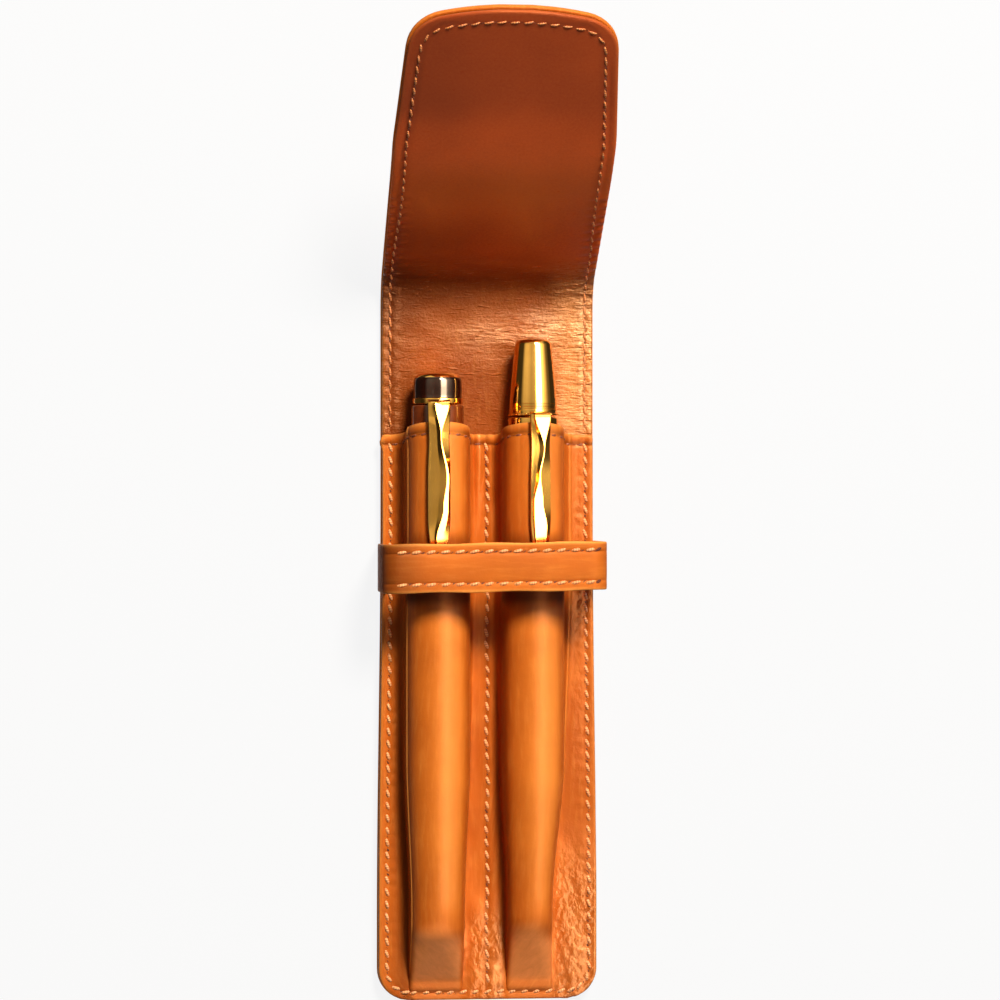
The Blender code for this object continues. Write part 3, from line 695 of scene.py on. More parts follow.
def paintStrip(piece, skin):
    values = {"wearAndHighlight": [], "calm": [], "shaded": [], "shine": []}
    for x, along in laidPlaces(piece):
        edge = fromOutline(x, min(max(along, 0.0), caseLength))
        # pale edges: edge wear, strongest on the outer skin's rolled rim, where it is also a painted
        # highlight
        wearAndHighlight = mix(*skin["wearAndHighlight"], onFlap(along)) * bell(max(edge - skin["inset"], 0.0), 0.0005)
        tone, shine, paintedSheen = liningPaint(x, along, edge) if skin["lift"] is liningLift else (0.0, 0.0, 0.0)
        values["wearAndHighlight"].append(max(wearAndHighlight, paintedSheen))
        values["calm"].append(calmShare(along))
        # painted shade in the dip beside each side seam, plus the lining's painted shade
        values["shaded"].append(min(0.18 * bell(edge - 0.0036, 0.0006) + tone, 0.75))
        values["shine"].append(shine)
    for key, numbers in values.items():
        paintPoints(piece, key, numbers)


rootBend = {"start": onStrip(0, caseSize["backLength"], 0), "end": onStrip(0, foldEnd, 0)}
topBend = {"start": onStrip(0, spineEnd, 0), "end": onStrip(0, topFoldEnd, 0)}


def bendAtRoot(piece):
    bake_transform(piece)


def bendAtTop(piece):
    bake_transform(piece)


liningInset = caseSize["rim"]
for skinName, skin in {
    "outer": {"thickness": outerThickness, "inset": 0.0, "depth": caseSize["liningZ"] - outerThickness,
              "press": skins["edgePress"], "columns": 16, "lift": outerLift, "look": outerLeather,
              "fineFrom": 0.168, "fineStep": 0.0008, "flapStep": 0.003, "wearAndHighlight": (0.80, 0.30),
              "slot": "tan_leather",
              "backNodes": ("back_outer_leather", "fold_outer_leather", "spine_outer_leather"),
              "flapNodes": ("top_fold_outer_leather", "flap_outer_leather")},
    "lining": {"thickness": 0.0011, "inset": liningInset, "depth": 0.0,
               "press": -skins["edgePress"], "columns": 44, "lift": liningLift, "look": liningLook,
               "fineFrom": 0.134, "fineStep": 0.0006, "flapStep": 0.0015, "wearAndHighlight": (0.55, 0.60),
               "slot": "lining_leather", "backNodes": ("back_lining", "fold_lining", "spine_lining"),
               "flapNodes": ("top_fold_lining", "flap_lining")},
}.items():
    half = skin["thickness"] / 2 + skin["inset"]
    backRows = rowsBetween(half, splitAlong, half, skin["fineFrom"], splitAlong, skin["fineStep"], 0.004)
    flapRows = rowsBetween(splitAlong, caseLength - half - 0.0001, half, splitAlong, skins["fineTo"],
                           skin["fineStep"], skin["flapStep"])
    for part, rows, bend, old in (("Back", backRows, bendAtRoot, skin["backNodes"]),
                                  ("Flap", flapRows, bendAtTop, skin["flapNodes"])):
        piece = stripSheet(skinName + part, skin, rows, part == "Flap")
        piece.data.materials.append(skin["look"])
        paintStrip(piece, skin)
        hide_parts(*old)
        bend(piece)
print("back and flap made")


# Pocket front: one moulded panel with a tube over each pen

pocketPanel = {
    "thickness": 0.0012,
    "flangeZ": 0.00368,          # middle of the leather where it lies on the lining
    "mouthAt": 0.1402,
    "mouthLean": 0.0031,
    "leanLength": 0.012,
    "leanHeight": 0.0142,
    "puckerPitch": 0.00308,
    "flatEnd": 0.0030,
    "pleatHeight": 0.0008,       # the folded leather at the closed end
    "filletHeight": 0.0040,
    "seamX": -0.0003,
    "seamInset": 0.0020,
    "hemInset": 0.0018,
    "rowStep": 0.00062,
}
tubes = [
    {"side": -1, "x": -0.0130, "radius": 0.0068, "narrow": 0.0055, "axisZ": 0.0098, "fadeEnd": 0.0199,
     "narrowInner": 0.0055, "pleat": 0.0056, "outerFillet": 0.0040, "innerFillet": 0.0025, "crease": 15,
     "tailWide": 0.0060},
    {"side": 1, "x": 0.0107, "radius": 0.0065, "narrow": 0.0036, "axisZ": 0.0095, "fadeEnd": 0.0219,
     "narrowInner": 0.0050, "pleat": 0.0042, "outerFillet": 0.0048, "innerFillet": 0.0022, "crease": 4,
     "tailWide": 0.0056},
]
penTail, taperFrom, rampEase = 0.0235, 0.0620, 0.18


def panelEdge(along, side):
    keep = liningInset + pocketPanel["thickness"] / 2
    wide = halfWidth(max(along, keep + 1e-5), keep)
    if side < 0:
        wide += 0.0007 * bell(along - 0.1388, 0.0011)      # the small ear at the left end of the mouth
    return wide


def tubeShare(tube, along):
    flatEnd = pocketPanel["flatEnd"]
    slope = min(max((along - flatEnd) / (tube["fadeEnd"] - flatEnd), 0.0), 1.0)
    # a straight ramp with eased ends
    if slope < rampEase:
        return slope ** 2 / (2 * rampEase * (1 - rampEase))
    if slope > 1 - rampEase:
        return 1 - (1 - slope) ** 2 / (2 * rampEase * (1 - rampEase))
    return (slope - rampEase / 2) / (1 - rampEase)


def tubeRadius(tube, along, narrow="narrow"):
    return mix(tube["radius"], tube[narrow], fall(along, taperFrom, taperFrom - penTail))


def outwardAt(section, n):
    (u0, h0), (u1, h1) = section[n - 1], section[n + 1]
    return Vector((abs(h1 - h0), abs(u0 - u1))).normalized()


def tubeSection(tube, along):
    # from the outer side of the case to the seam, in x away from the seam and height over the flange
    share = tubeShare(tube, along)
    radius = tubeRadius(tube, along)
    wide = mix(tube["pleat"], radius, share) + pocketPanel["thickness"] / 2
    innerWide = mix(tube["narrowInner"], tubeRadius(tube, along, "narrowInner"), share)
    innerWide += pocketPanel["thickness"] / 2
    height = (tube["axisZ"] + radius + pocketPanel["thickness"] / 2 - pocketPanel["flangeZ"]) * share
    height = hypot(height, pocketPanel["pleatHeight"] * rise(along, 0.0021, 0.0016))
    crown = min(wide, 0.62 * height)
    lift = min(pocketPanel["filletHeight"], 0.34 * height)
    boxy = fall(along, 0.021, 0.014)
    power = mix(1.0, 0.55, boxy)
    shoulder = height - crown
    eased = rise(along, 0.045, 0.060)
    filletOut, filletIn = mix(0.0007, tube["outerFillet"], eased), mix(0.0007, tube["innerFillet"], eased)
    points = []
    for i in (0, 1, 2, 2.75, 3, 3.25, 4, 5, 6, 7, 8):
        turn = pi / 2 * i / 9
        points.append((wide + filletOut * (1 - sin(turn)), lift * (1 - cos(turn))))
    for i in (0, 1, 2, 2.8, 3, 3.2, *range(4, 37)):
        turn = pi * i / 36
        c, s = cos(turn), sin(turn)
        side = wide if c > 0 else innerWide
        points.append((side * copysign(abs(c) ** power, c), shoulder + crown * abs(s) ** power))
    pressed = tube["crease"]
    u, h = points[pressed]
    out = outwardAt(points, pressed) * 0.00013 * share
    points[pressed] = (u + out.x, h + out.y)
    for i in range(8, -1, -1):
        turn = pi / 2 * i / 9
        points.append((-innerWide - filletIn * (1 - sin(turn)), lift * (1 - cos(turn))))
    return points


def squeezeOf(tube, section, along):
    # a tube wider than its place on the case is squeezed on the outer side
    reach = abs(tube["side"] * panelEdge(along, tube["side"]) - tube["x"]) - 0.0017
    return min(1.0, reach / section[0][0])


def panelLine(along):
    # one row across the whole panel, left to right: (x, height over the flange)
    line = []
    seam = pocketPanel["seamX"]
    for tube in tubes:
        edge = tube["side"] * panelEdge(along, tube["side"])
        section = tubeSection(tube, along)
        squeeze = squeezeOf(tube, section, along)
        shaped = [(tube["x"] + tube["side"] * u * (squeeze if u > 0 else 1.0), h) for u, h in section]
        outer, inner = shaped[0][0], shaped[-1][0]
        flange = [(mix(edge, outer, t), 0.0) for t in (0, 0.12, 0.24, 0.37, 0.5, 0.62, 0.75, 0.87)]
        valley = [(mix(inner, seam, t), 0.0) for t in (0.16, 0.32, 0.48, 0.62, 0.74, 0.86)]
        half = flange + shaped + valley
        line += half if tube["side"] < 0 else [(seam, 0.0)] + half[::-1]
    return line


def centreSeamX(along):
    # the seam between the pockets isn't quite straight
    return pocketPanel["seamX"] + 0.0002 * sin(along * 260)


def panelDetail(x, along, height):
    # puckers at the seams, and ripples in the flat leather beside the tubes
    pressed = 0.00055
    low = 1 - smoothStep(height / 0.0025)
    turn = 2 * pi / pocketPanel["puckerPitch"]
    edge = abs(x) - halfWidth(max(along, 0.0024), liningInset + pocketPanel["seamInset"])
    alongSeam = max(bell(edge, pressed), bell(x - centreSeamX(along), pressed))
    endSeam = bell(along - liningInset - pocketPanel["seamInset"], pressed)
    dip = -0.00030 * low * max(alongSeam * (0.6 + 0.4 * cos(turn * along)),
                               endSeam * (0.6 + 0.4 * cos(turn * x)))
    uneven = 0.55 + 0.9 * grain(along * 170, x * 30, 2.2)
    beside = bell(edge + 0.0014, 0.0007) * 0.00024 * uneven * cos(turn * along + 0.8) * low
    flatRight = rise(x, 0.0165, 0.003) * fall(along, 0.062, 0.03) * low
    valley = fall(abs(x + 0.0006), 0.0045, 0.002) * low
    ripple = 0.00042 * grain(x * 210, along * 120 + x * 160, 1.7) * flatRight
    ripple += 0.00036 * grain(x * 330, along * 150, 4.4) * valley + 0.00016 * grain(x * 90, along * 70, 7.7)
    ripple += 0.00060 * grain(x * 620, along * 75, 8.8) * valley * rise(along, 0.114, 0.016)
    hem = -0.00040 * bell(along - pocketPanel["mouthAt"] + pocketPanel["hemInset"], pressed)
    return dip + beside + ripple + hem


def mouthShift(height):
    # the mouth leans away from the closed end where it climbs over a pen
    return pocketPanel["mouthLean"] * height / pocketPanel["leanHeight"]


def panelPoint(x, height, along):
    leanLength = pocketPanel["leanLength"]
    near = max(0.0, (along - pocketPanel["mouthAt"] + leanLength) / leanLength)
    return (x, along + mouthShift(height) * near - originAlong, pocketPanel["flangeZ"] + height)


panelLow = liningInset + pocketPanel["thickness"] / 2
panelStations = thinned(cornerRows(panelLow, 0, 9) + spread(panelLow, pocketPanel["mouthAt"],
                                                            pocketPanel["rowStep"]), 0.0002)
panelGrid, panelFlat = [], []
for along in panelStations:
    line = panelLine(along)
    row, flat, run = [], [], 0.0
    for n, (x, height) in enumerate(line):
        if n:
            run += hypot(x - line[n - 1][0], height - line[n - 1][1])
        row.append(panelPoint(x, height + panelDetail(x, along, height), along))
        flat.append(run)
    fromRight = [(0.05 + u - run, along) for u in flat]
    leftCount = next(n for n, (x, height) in enumerate(line) if x == pocketPanel["seamX"])
    panelGrid.append(row)
    panelFlat.append([(u, along) for u in flat[:leftCount]] + fromRight[leftCount:])
pocketFront = leatherSheet("pocketFront", panelGrid, panelFlat, pocketPanel["thickness"])
pocketFront.data.materials.append(panelLeather)
panelGrid = np.array(panelGrid)


def creaseShare(places):
    # the fine pressed line along the outer side of each tube, on the leather's upper surface, where a
    # highlight is painted
    along = places[:, 1] + originAlong
    share = np.zeros(len(places))
    for tube, amount in zip(tubes, (1.0, 0.45)):
        line = []
        for station in panelStations:
            section = tubeSection(tube, station)
            u, h = section[tube["crease"]]
            out = outwardAt(section, tube["crease"]) * pocketPanel["thickness"] / 2
            u = u * squeezeOf(tube, section, station) + out.x
            line.append((tube["x"] + tube["side"] * u, pocketPanel["flangeZ"] + h + out.y))
        line = np.array(line)
        away = np.hypot(places[:, 0] - np.interp(along, panelStations, line[:, 0]),
                        places[:, 2] - np.interp(along, panelStations, line[:, 1]))
        ended = np.clip((along - 0.007) / 0.004, 0, 1)
        share = np.maximum(share, amount * np.exp(-(away / 0.00030) ** 2) * ended)
    return share


def panelShade(x, along, z, lean, mouth, clear):
    # painted shade: a painted shadow under the strap, and painted shade in the ditches beside the tubes,
    # along the centre seam and in the hem's groove
    # painted shade down the steep sides, most on those facing away from the lamp
    under = rise(along, 0.0965, 0.004) * fall(along, 0.118, 0.004)
    # the strap's painted shadow, darkest just below its lower edge
    kept = mix(0.92, 0.45, rise(along, 0.102, 0.004)) * under * rise(z, 0.006, 0.004)
    ditchShade = fall(z, 0.0075, 0.002) * max(0.50 * rise(x, -0.0252, 0.0040) * fall(x, -0.0185, 0.001),
                                         0.36 * rise(x, 0.0, 0.003) * fall(x, 0.0048, 0.001),
                                         0.20 * rise(x, 0.0175, 0.002))
    seamLine = 0.30 * bell(abs(x - pocketPanel["seamX"]), 0.0007) * fall(z, 0.006, 0.001)
    hemLine = 0.70 * bell(mouth - pocketPanel["hemInset"], 0.00050)
    flankShade = fall(lean.z, 0.72, 0.5) * fall(z, 0.020, 0.004) * (0.44 if lean.x < 0 else 0.08)
    # painted highlight where the crowns face the lamp, partly the lighter pull-up of stretched leather; none
    # in the strap's painted shadow
    over = (1 - 0.97 * under) * rise(z, 0.0095, 0.006) * rise(lean.z, 0.45, 0.4)
    pullUpHighlight = over * mix(0.30, 1.0, rise(lean.x, -0.50, 0.8)) * rise(along, 0.016, 0.012)
    return max(kept, seamLine, ditchShade * clear, hemLine, flankShade * clear), pullUpHighlight


def panelShine(x, along, z, spot):
    # shine of the low flat parts; a painted sheen on the tails, which slope away from the lamp, and painted
    # haze and glints
    low = fall(z, 0.0085, 0.002)
    flatRight = rise(x, 0.0145, 0.003) * fall(along, 0.050, 0.024)
    valley = fall(abs(x + 0.0004), 0.0050, 0.0016) * fall(along, 0.030, 0.012)
    besideMouth = 0.45 * rise(x, 0.0195, 0.002) * rise(along, 0.040, 0.03)
    pleat = 0.6 * bell(x + 0.0022, 0.0011) * rise(along, 0.118, 0.008)
    across = min(((x - tube["x"]) / tube["tailWide"] for tube in tubes), key=abs)
    ending = 0.0222 - 0.0016 * across - 0.0030 * across ** 2 + 0.0014 * noise.noise(spot * 200)
    # painted sheen that lightens each tail's ramp
    tailSheen = (0.90 if x < 0 else 0.76) * mix(0.30, 1.0, rise(along, 0.0040, 0.0030))
    tailSheen *= fall(along, ending, 0.006) * fall(abs(across), 1.1, 0.25)
    blotch = grain(x * 260, along * 190, 3.3) + 0.6 * grain(x * 700, along * 520, 6.1)
    # painted haze of sheen on the right flat
    hazy = low * flatRight * rise(blotch, -0.45, 0.8) * 0.20
    # painted glints beside the left tube's right side and right of the centre seam
    leftGlint = bell(x + 0.0056 + 0.06 * (along - 0.010), 0.0008) * fall(along, 0.022, 0.006)
    rightGlint = bell(x - 0.0022, 0.0013) * fall(along, 0.012, 0.004)
    glint = low * max(leftGlint, rightGlint) * rise(blotch, -0.2, 0.5) * rise(along, 0.0034, 0.002)
    return low * max(flatRight, valley, besideMouth, pleat), max(tailSheen, hazy, glint * 0.9)


def paintPanel(piece):
    values = {"wearAndHighlight": [], "shaded": [], "shine": [], "paintedSheen": [], "pullUpHighlight": []}
    vertices = piece.data.vertices
    creases = creaseShare(np.array([v.co for v in vertices])).tolist()
    for v, crease in zip(vertices, creases):
        x, y, z = v.co
        along = y + originAlong
        edge = halfWidth(min(max(along, 0.0015), 0.16), liningInset) - abs(x)
        mouth = pocketPanel["mouthAt"] + mouthShift(z - pocketPanel["flangeZ"]) - along
        # edge wear at the panel's edges and mouth, and a painted highlight along the pressed line of each
        # tube
        wearAndHighlight = max(crease, 0.55 * bell(max(min(edge, mouth + 0.0002), 0.0), 0.0005))
        shaded, pullUpHighlight = panelShade(x, along, z, v.normal, mouth, 1 - min(1.0, 2 * crease))
        shine, paintedSheen = panelShine(x, along, z, v.co)
        for key, number in zip(values, (wearAndHighlight, shaded, shine, paintedSheen, pullUpHighlight)):
            values[key].append(number)
    for key, numbers in values.items():
        paintPoints(piece, key, numbers)


paintPanel(pocketFront)
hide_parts("left_pocket_front", "right_pocket_front")
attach(pocketFront, "case")
print("pocket front made")


# Stitches: one slanted, slightly sunk lozenge of thread and one needle hole, a flat patch of painted shade,
# for each step of a seam

seam = {
    "pitch": 0.00308,
    "length": 0.00242,
    "width": 0.00080,
    "height": 0.00044,
    "slant": radians(20),
    "holeLength": 0.00150,
    "holeWidth": 0.00058,
    "holeSlant": radians(42),
}


def pathAt(path, gone):
    # path is a list of (distance, point, normal)
    for (a, pointA, normalA), (b, pointB, normalB) in zip(path, path[1:]):
        if gone <= b:
            share = (gone - a) / max(b - a, 1e-9)
            normal = normalA.lerp(normalB, share).normalized()
            return pointA.lerp(pointB, share), normal, (pointB - pointA).normalized()
    return path[-1][1], path[-1][2], (path[-1][1] - path[-2][1]).normalized()


def measured(points):
    path, gone = [], 0.0
    for n, (point, normal) in enumerate(points):
        point = Vector(point)
        if n:
            gone += (point - path[-1][1]).length
        path.append((gone, point, Vector(normal).normalized()))
    return path


def stitchRow(name, points, seed, seamLook=seam, mirror=1, sunk=0.00004, replaces=(),
              thread=waxedThread):
    dice = random.Random(seed)
    path = measured(points)
    count = max(1, round(path[-1][0] / seamLook["pitch"]))
    pitch = path[-1][0] / count
    verts, faces, laid, kinds = [], [], [], []
    rings, sides, holeSides = 9, 8, 10
    for n in range(count):
        at, normal, run = pathAt(path, (n + 0.5) * pitch)
        slant = mirror * seamLook["slant"] + dice.uniform(-0.06, 0.06)
        run = (Matrix.Rotation(slant, 3, normal) @ run).normalized()
        side = normal.cross(run).normalized()
        length = seamLook["length"] * dice.uniform(0.93, 1.05)
        first = len(verts)
        for r in range(rings):
            t = -1 + 2 * r / (rings - 1)
            swell = max(0.16, (1 - abs(t) ** 3.0)) ** 0.6
            height = seamLook["height"] * (0.62 - 0.95 * t * t) - sunk
            centre = at + run * (t * length / 2) + normal * height
            for s in range(sides):
                turn = 2 * pi * s / sides
                verts.append(centre + side * (cos(turn) * seamLook["width"] / 2 * swell)
                             + normal * (sin(turn) * seamLook["height"] * 0.75 * swell))
                laid.append((s / sides * 0.02, (n * 1.3 + r / rings) * 0.03))
        faces += ringFaces(first, rings, sides)
        kinds += [0] * (len(faces) - len(kinds))
        at, normal, run = pathAt(path, (n + 1.0) * pitch)
        slant = mirror * seamLook["holeSlant"] + dice.uniform(-0.1, 0.1)
        run = (Matrix.Rotation(slant, 3, normal) @ run).normalized()
        side = normal.cross(run).normalized()
        first = len(verts)
        verts.append(at + normal * (0.00012 - sunk * 2))
        laid.append((0.0, n * 0.03))
        for s in range(holeSides):
            turn = 2 * pi * s / holeSides
            verts.append(at + run * (cos(turn) * seamLook["holeLength"] / 2)
                         + side * (sin(turn) * seamLook["holeWidth"] / 2) - normal * 0.00006)
            laid.append((cos(turn) * 0.002, n * 0.03 + sin(turn) * 0.002))
        for s in range(holeSides):
            faces.append((first, first + 1 + s, first + 1 + (s + 1) % holeSides))
            kinds.append(1)
    piece = meshPiece(name, verts, faces, laid, 70)
    piece.data.materials.append(thread)
    piece.data.materials.append(holeShade)
    piece.data.polygons.foreach_set("material_index", kinds)
    if replaces:
        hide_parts(*replaces)
    return piece


def panelRow(along):
    return panelGrid[int(np.argmin([abs(s - along) for s in panelStations]))]


def onPanel(x, along):
    # the front of the pocket leather at this place, where it is flat enough to be read by x
    line = panelRow(along)
    z = float(np.interp(x, line[:, 0], line[:, 2])) + pocketPanel["thickness"] / 2
    return (x, along - originAlong, z)


upward = (0, 0, 1)
seamInset = liningInset + pocketPanel["seamInset"]


def panelSeam(side):
    rows = [seamInset + 0.0002, *cornerRows(seamInset, 8, 8)]
    rows += spread(caseSize["bottomCorner"] + 0.001, pocketPanel["mouthAt"] - 0.0012, 0.0012)
    return [(onPanel(side * halfWidth(along, seamInset), along), upward) for along in rows]


endRow = [(onPanel(x, seamInset), upward) for x in spread(-0.0188, 0.0188, 0.001)]
edgeRow = panelSeam(-1)[::-1] + endRow + panelSeam(1)
edgeSeam = stitchRow("edgeStitches", edgeRow, 11, replaces=("edge_thread",))
centreRow = [(onPanel(centreSeamX(along), along), upward)
             for along in spread(0.0040, pocketPanel["mouthAt"] - 0.0010, 0.0012)]
centreSeam = stitchRow("centreStitches", centreRow, 12, replaces=("centre_seam_thread",))


def hemRow(side):
    line = panelRow(pocketPanel["mouthAt"] - pocketPanel["hemInset"])
    keep = [p for p in line if side * (p[0] - pocketPanel["seamX"]) > 0.0009 and abs(p[0]) < 0.0247]
    points = []
    for n, here in enumerate(keep):
        run = np.array(keep[min(n + 1, len(keep) - 1)]) - np.array(keep[max(n - 1, 0)])
        normal = Vector((-run[2], 0, run[0])).normalized()
        points.append((Vector(here) + normal * pocketPanel["thickness"] / 2, normal))
    return points


hemLook = dict(seam, length=0.0018, width=0.00056, height=0.00024, slant=radians(6), holeLength=0.0019,
               holeWidth=0.0006, holeSlant=radians(12))
leftHem = stitchRow("leftMouthStitches", hemRow(-1), 13, hemLook, replaces=("left_mouth_thread",),
                    thread=hemThread)
rightHem = stitchRow("rightMouthStitches", hemRow(1), 14, hemLook, replaces=("right_mouth_thread",),
                     thread=hemThread)
for piece in (edgeSeam, centreSeam, leftHem, rightHem):
    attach(piece, "case")

liningSeam = dict(seam, length=0.0025, width=0.00058, height=0.00026, slant=radians(10), holeLength=0.0011,
                  holeWidth=0.00034, holeSlant=radians(30))
outsideSeam = dict(liningSeam, height=0.00022, width=0.0006)
outside, outsideSunk = -caseSize["liningZ"] + 0.00002, 0.00012
flapInset = caseSize["rim"] + 0.0029
flapTip = caseLength - flapInset - 0.0001
tipX = halfWidth(flapTip, flapInset)


def seamPoint(side, along, inset, height=0.0):
    # on the lining's ripples, or turned to the outside of the case
    x = halfWidth(along, inset)
    if height < -0.001:
        return onStrip(side * x, along, height), [-c for c in stripNormal(along)]
    return onStrip(side * x, along, height + liningLift(x, along)), stripNormal(along)


def stripSeam(side, start, end, inset, height=0.0):
    rows = spread(start, end, 0.001) + [r for r in outlineRows(inset) if start < r < end]
    return [seamPoint(side, along, inset, height) for along in sorted(rows)]


def flapRow(height=0.0):
    normal = [-c for c in stripNormal(flapTip)] if height else stripNormal(flapTip)
    tip = [(onStrip(x, flapTip, height), normal) for x in spread(-tipX, tipX, 0.001)[1:-1]]
    left, right = (stripSeam(side, 0.2145, flapTip, flapInset, height) for side in (-1, 1))
    return left + tip + right[::-1]


threadInset = caseSize["rim"] + 0.0020
for side, sideName in ((-1, "Left"), (1, "Right")):
    row = stripSeam(side, pocketPanel["mouthAt"] + 0.0020, splitAlong, threadInset)
    old = [start + sideName.lower() for start in ("lining_thread_", "fold_thread_", "spine_thread_")]
    piece = stitchRow("liningStitches" + sideName, row, 20 + side, liningSeam, replaces=old,
                      thread=tonedThread)
    bendAtRoot(piece)
    row = [seamPoint(side, along, mix(threadInset, flapInset, rise(along, splitAlong, 0.028)))
           for along in spread(splitAlong, 0.214, 0.001)]
    piece = stitchRow("topFoldStitches" + sideName, row, 30 + side, liningSeam,
                      replaces=("top_fold_thread_" + sideName.lower(),), thread=tonedThread)
    bendAtTop(piece)
piece = stitchRow("flapStitches", flapRow(), 40, liningSeam, replaces=("flap_thread",), thread=tonedThread)
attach(piece, "flap")

# The same seams show on the outside of the case
for side, sideName in ((-1, "Left"), (1, "Right")):
    row = stripSeam(side, caseSize["bottomCorner"], splitAlong, threadInset, outside)
    bendAtRoot(stitchRow("backStitches" + sideName, row, 50 + side, outsideSeam, -1, outsideSunk))
    row = stripSeam(side, splitAlong, 0.214, caseSize["rim"] + 0.0023, outside)
    bendAtTop(stitchRow("backTopFoldStitches" + sideName, row, 60 + side, outsideSeam, -1, outsideSunk))
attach(stitchRow("flapBackStitches", flapRow(outside), 70, outsideSeam, -1, outsideSunk), "flap")
left, right = ([(onStrip(side * halfWidth(along, threadInset), along, outside), (0, 0, -1))
                for along in cornerRows(threadInset, 8, 8)] for side in (-1, 1))
across = [(onStrip(x, threadInset + 0.0001, outside), (0, 0, -1)) for x in spread(-0.0186, 0.0186, 0.001)]
piece = stitchRow("backEndStitches", left[::-1] + across + right, 80, outsideSeam, -1, outsideSunk)
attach(piece, "case")
print("seams made")


# Keeper strap: two layers sewn together, whose ends turn in under the lining

strap = {
    "centre": 0.10815,
    "width": 0.0119,
    "innerX": 0.0263,
    "skin": 0.0011,
    "backing": 0.0010,
    "innerZ": 0.0240,
    "layerGap": 0.00012,
    "corner": 0.0034,
    "tilt": radians(0.85),
    "footX": 0.0233,
    "footZ": 0.0016,
    "rowInset": 0.0020,
}


def strapPath(outside, top, corner, bottom, footX=None):
    # half of the band's middle line, from its middle to its end, as (x, z)
    line = [(x, top) for x in spread(0, outside - corner, 0.0011)]
    for a in range(10, 91, 10):
        turn = radians(90 - a)
        line.append((outside - corner + corner * cos(turn), top - corner + corner * sin(turn)))
    line += [(outside, z) for z in spread(top - corner, bottom, 0.0012)[1:]]
    if footX is not None:
        line += [(x, bottom) for x in spread(outside, footX, 0.0008)[1:]]
    return line


def strapBand(name, line, width, thickness, look, sway):
    whole = [(-x, z) for x, z in line[::-1]] + line[1:]
    runs = [0.0]
    for a, b in zip(whole, whole[1:]):
        runs.append(runs[-1] + hypot(b[0] - a[0], b[1] - a[1]))
    total = runs[-1]
    half = [0.2, 0.4, 0.52, 0.58, 0.62, 0.664, 0.71, 0.75, 0.80, 0.87, 0.94, 1]
    places = [-v for v in half[::-1]] + [0] + half
    grid, flat = [], []
    inner = width / 2 - thickness / 2
    for v in places:
        row, laid = [], []
        for (x, z), run in zip(whole, runs):
            wave = grain(x * 55, v * 1.1, 3.0) * sway
            edgeSway = 0.00012 * sin(x * 330 + (2 if v > 0 else 0)) * abs(v)
            fromRow = abs(v) * width / 2 - (width / 2 - strap["rowInset"])
            sunk = 0.00022 * bell(v, 0.45) - 0.00026 * bell(fromRow, 0.0005) if sway else 0.0
            flatPart = smoothStep((z - strap["innerZ"] + 0.003) / 0.003)
            y = strap["centre"] + v * inner + edgeSway + tan(strap["tilt"]) * x
            row.append((x, y - originAlong, z + (wave + sunk) * flatPart))
            laid.append((run - total / 2, v * width / 2))
        grid.append(row)
        flat.append(laid)
    band = leatherSheet(name, grid, flat, thickness)
    band.data.materials.append(look)
    wearAndHighlight, shaded = [], []
    for x, y, z in (v.co for v in band.data.vertices):
        fromMiddle = abs(y + originAlong - strap["centre"] - tan(strap["tilt"]) * x)
        wearAndHighlight.append(bell(max(width / 2 - fromMiddle - 0.0001, 0.0), 0.00045))
        # painted shade towards the strap's ends, strongest at the left end
        shaded.append(0.62 * rise(-x, 0.014, 0.010) + 0.08 * rise(x, 0.02, 0.006))
    paintPoints(band, "wearAndHighlight", wearAndHighlight)
    paintPoints(band, "shaded", shaded)
    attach(band, "case")
    return band


skinZ = strap["innerZ"] + strap["backing"] + strap["layerGap"] + strap["skin"] / 2
skinX = strap["innerX"] + strap["skin"] / 2
skinLine = strapPath(skinX, skinZ, strap["corner"], strap["footZ"], strap["footX"])
strapSkin = strapBand("strapSkin", skinLine, strap["width"], strap["skin"], strapLeather, 0.00016)
backingX = strap["innerX"] - strap["layerGap"] - strap["backing"] / 2
backingLine = strapPath(backingX, strap["innerZ"] + strap["backing"] / 2, strap["corner"] - 0.0010, 0.0052)
strapBacking = strapBand("strapBacking", backingLine, strap["width"] - 0.0004, strap["backing"],
                         backingLeather, 0.0)
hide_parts("strap_outer_leather")
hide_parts("strap_backing")

strapSeam = dict(seam, pitch=0.0036, length=0.0026, width=0.00078, height=0.00040, slant=radians(12),
                 holeLength=0.0021, holeWidth=0.00076, holeSlant=radians(26))
for v, rowName, old in ((-1, "strapStitchesLower", "strap_thread_lower"),
                        (1, "strapStitchesUpper", "strap_thread_upper")):
    off = v * (strap["width"] / 2 - strap["rowInset"])
    row = []
    for x in spread(-0.0247, 0.0247, 0.0006):
        wave = grain(x * 55, off / (strap["width"] / 2) * 1.1, 3.0) * 0.00016
        y = strap["centre"] + off + tan(strap["tilt"]) * x
        row.append(((x, y - originAlong, skinZ + strap["skin"] / 2 + wave - 0.00020), upward))
    piece = stitchRow(rowName, row, 90 + v, strapSeam, sunk=-0.00002, replaces=(old,), thread=waxedThread)
    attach(piece, "case")
print("keeper strap made")


# Pens: turned caps, crowns and rings, and a twisted clip on each

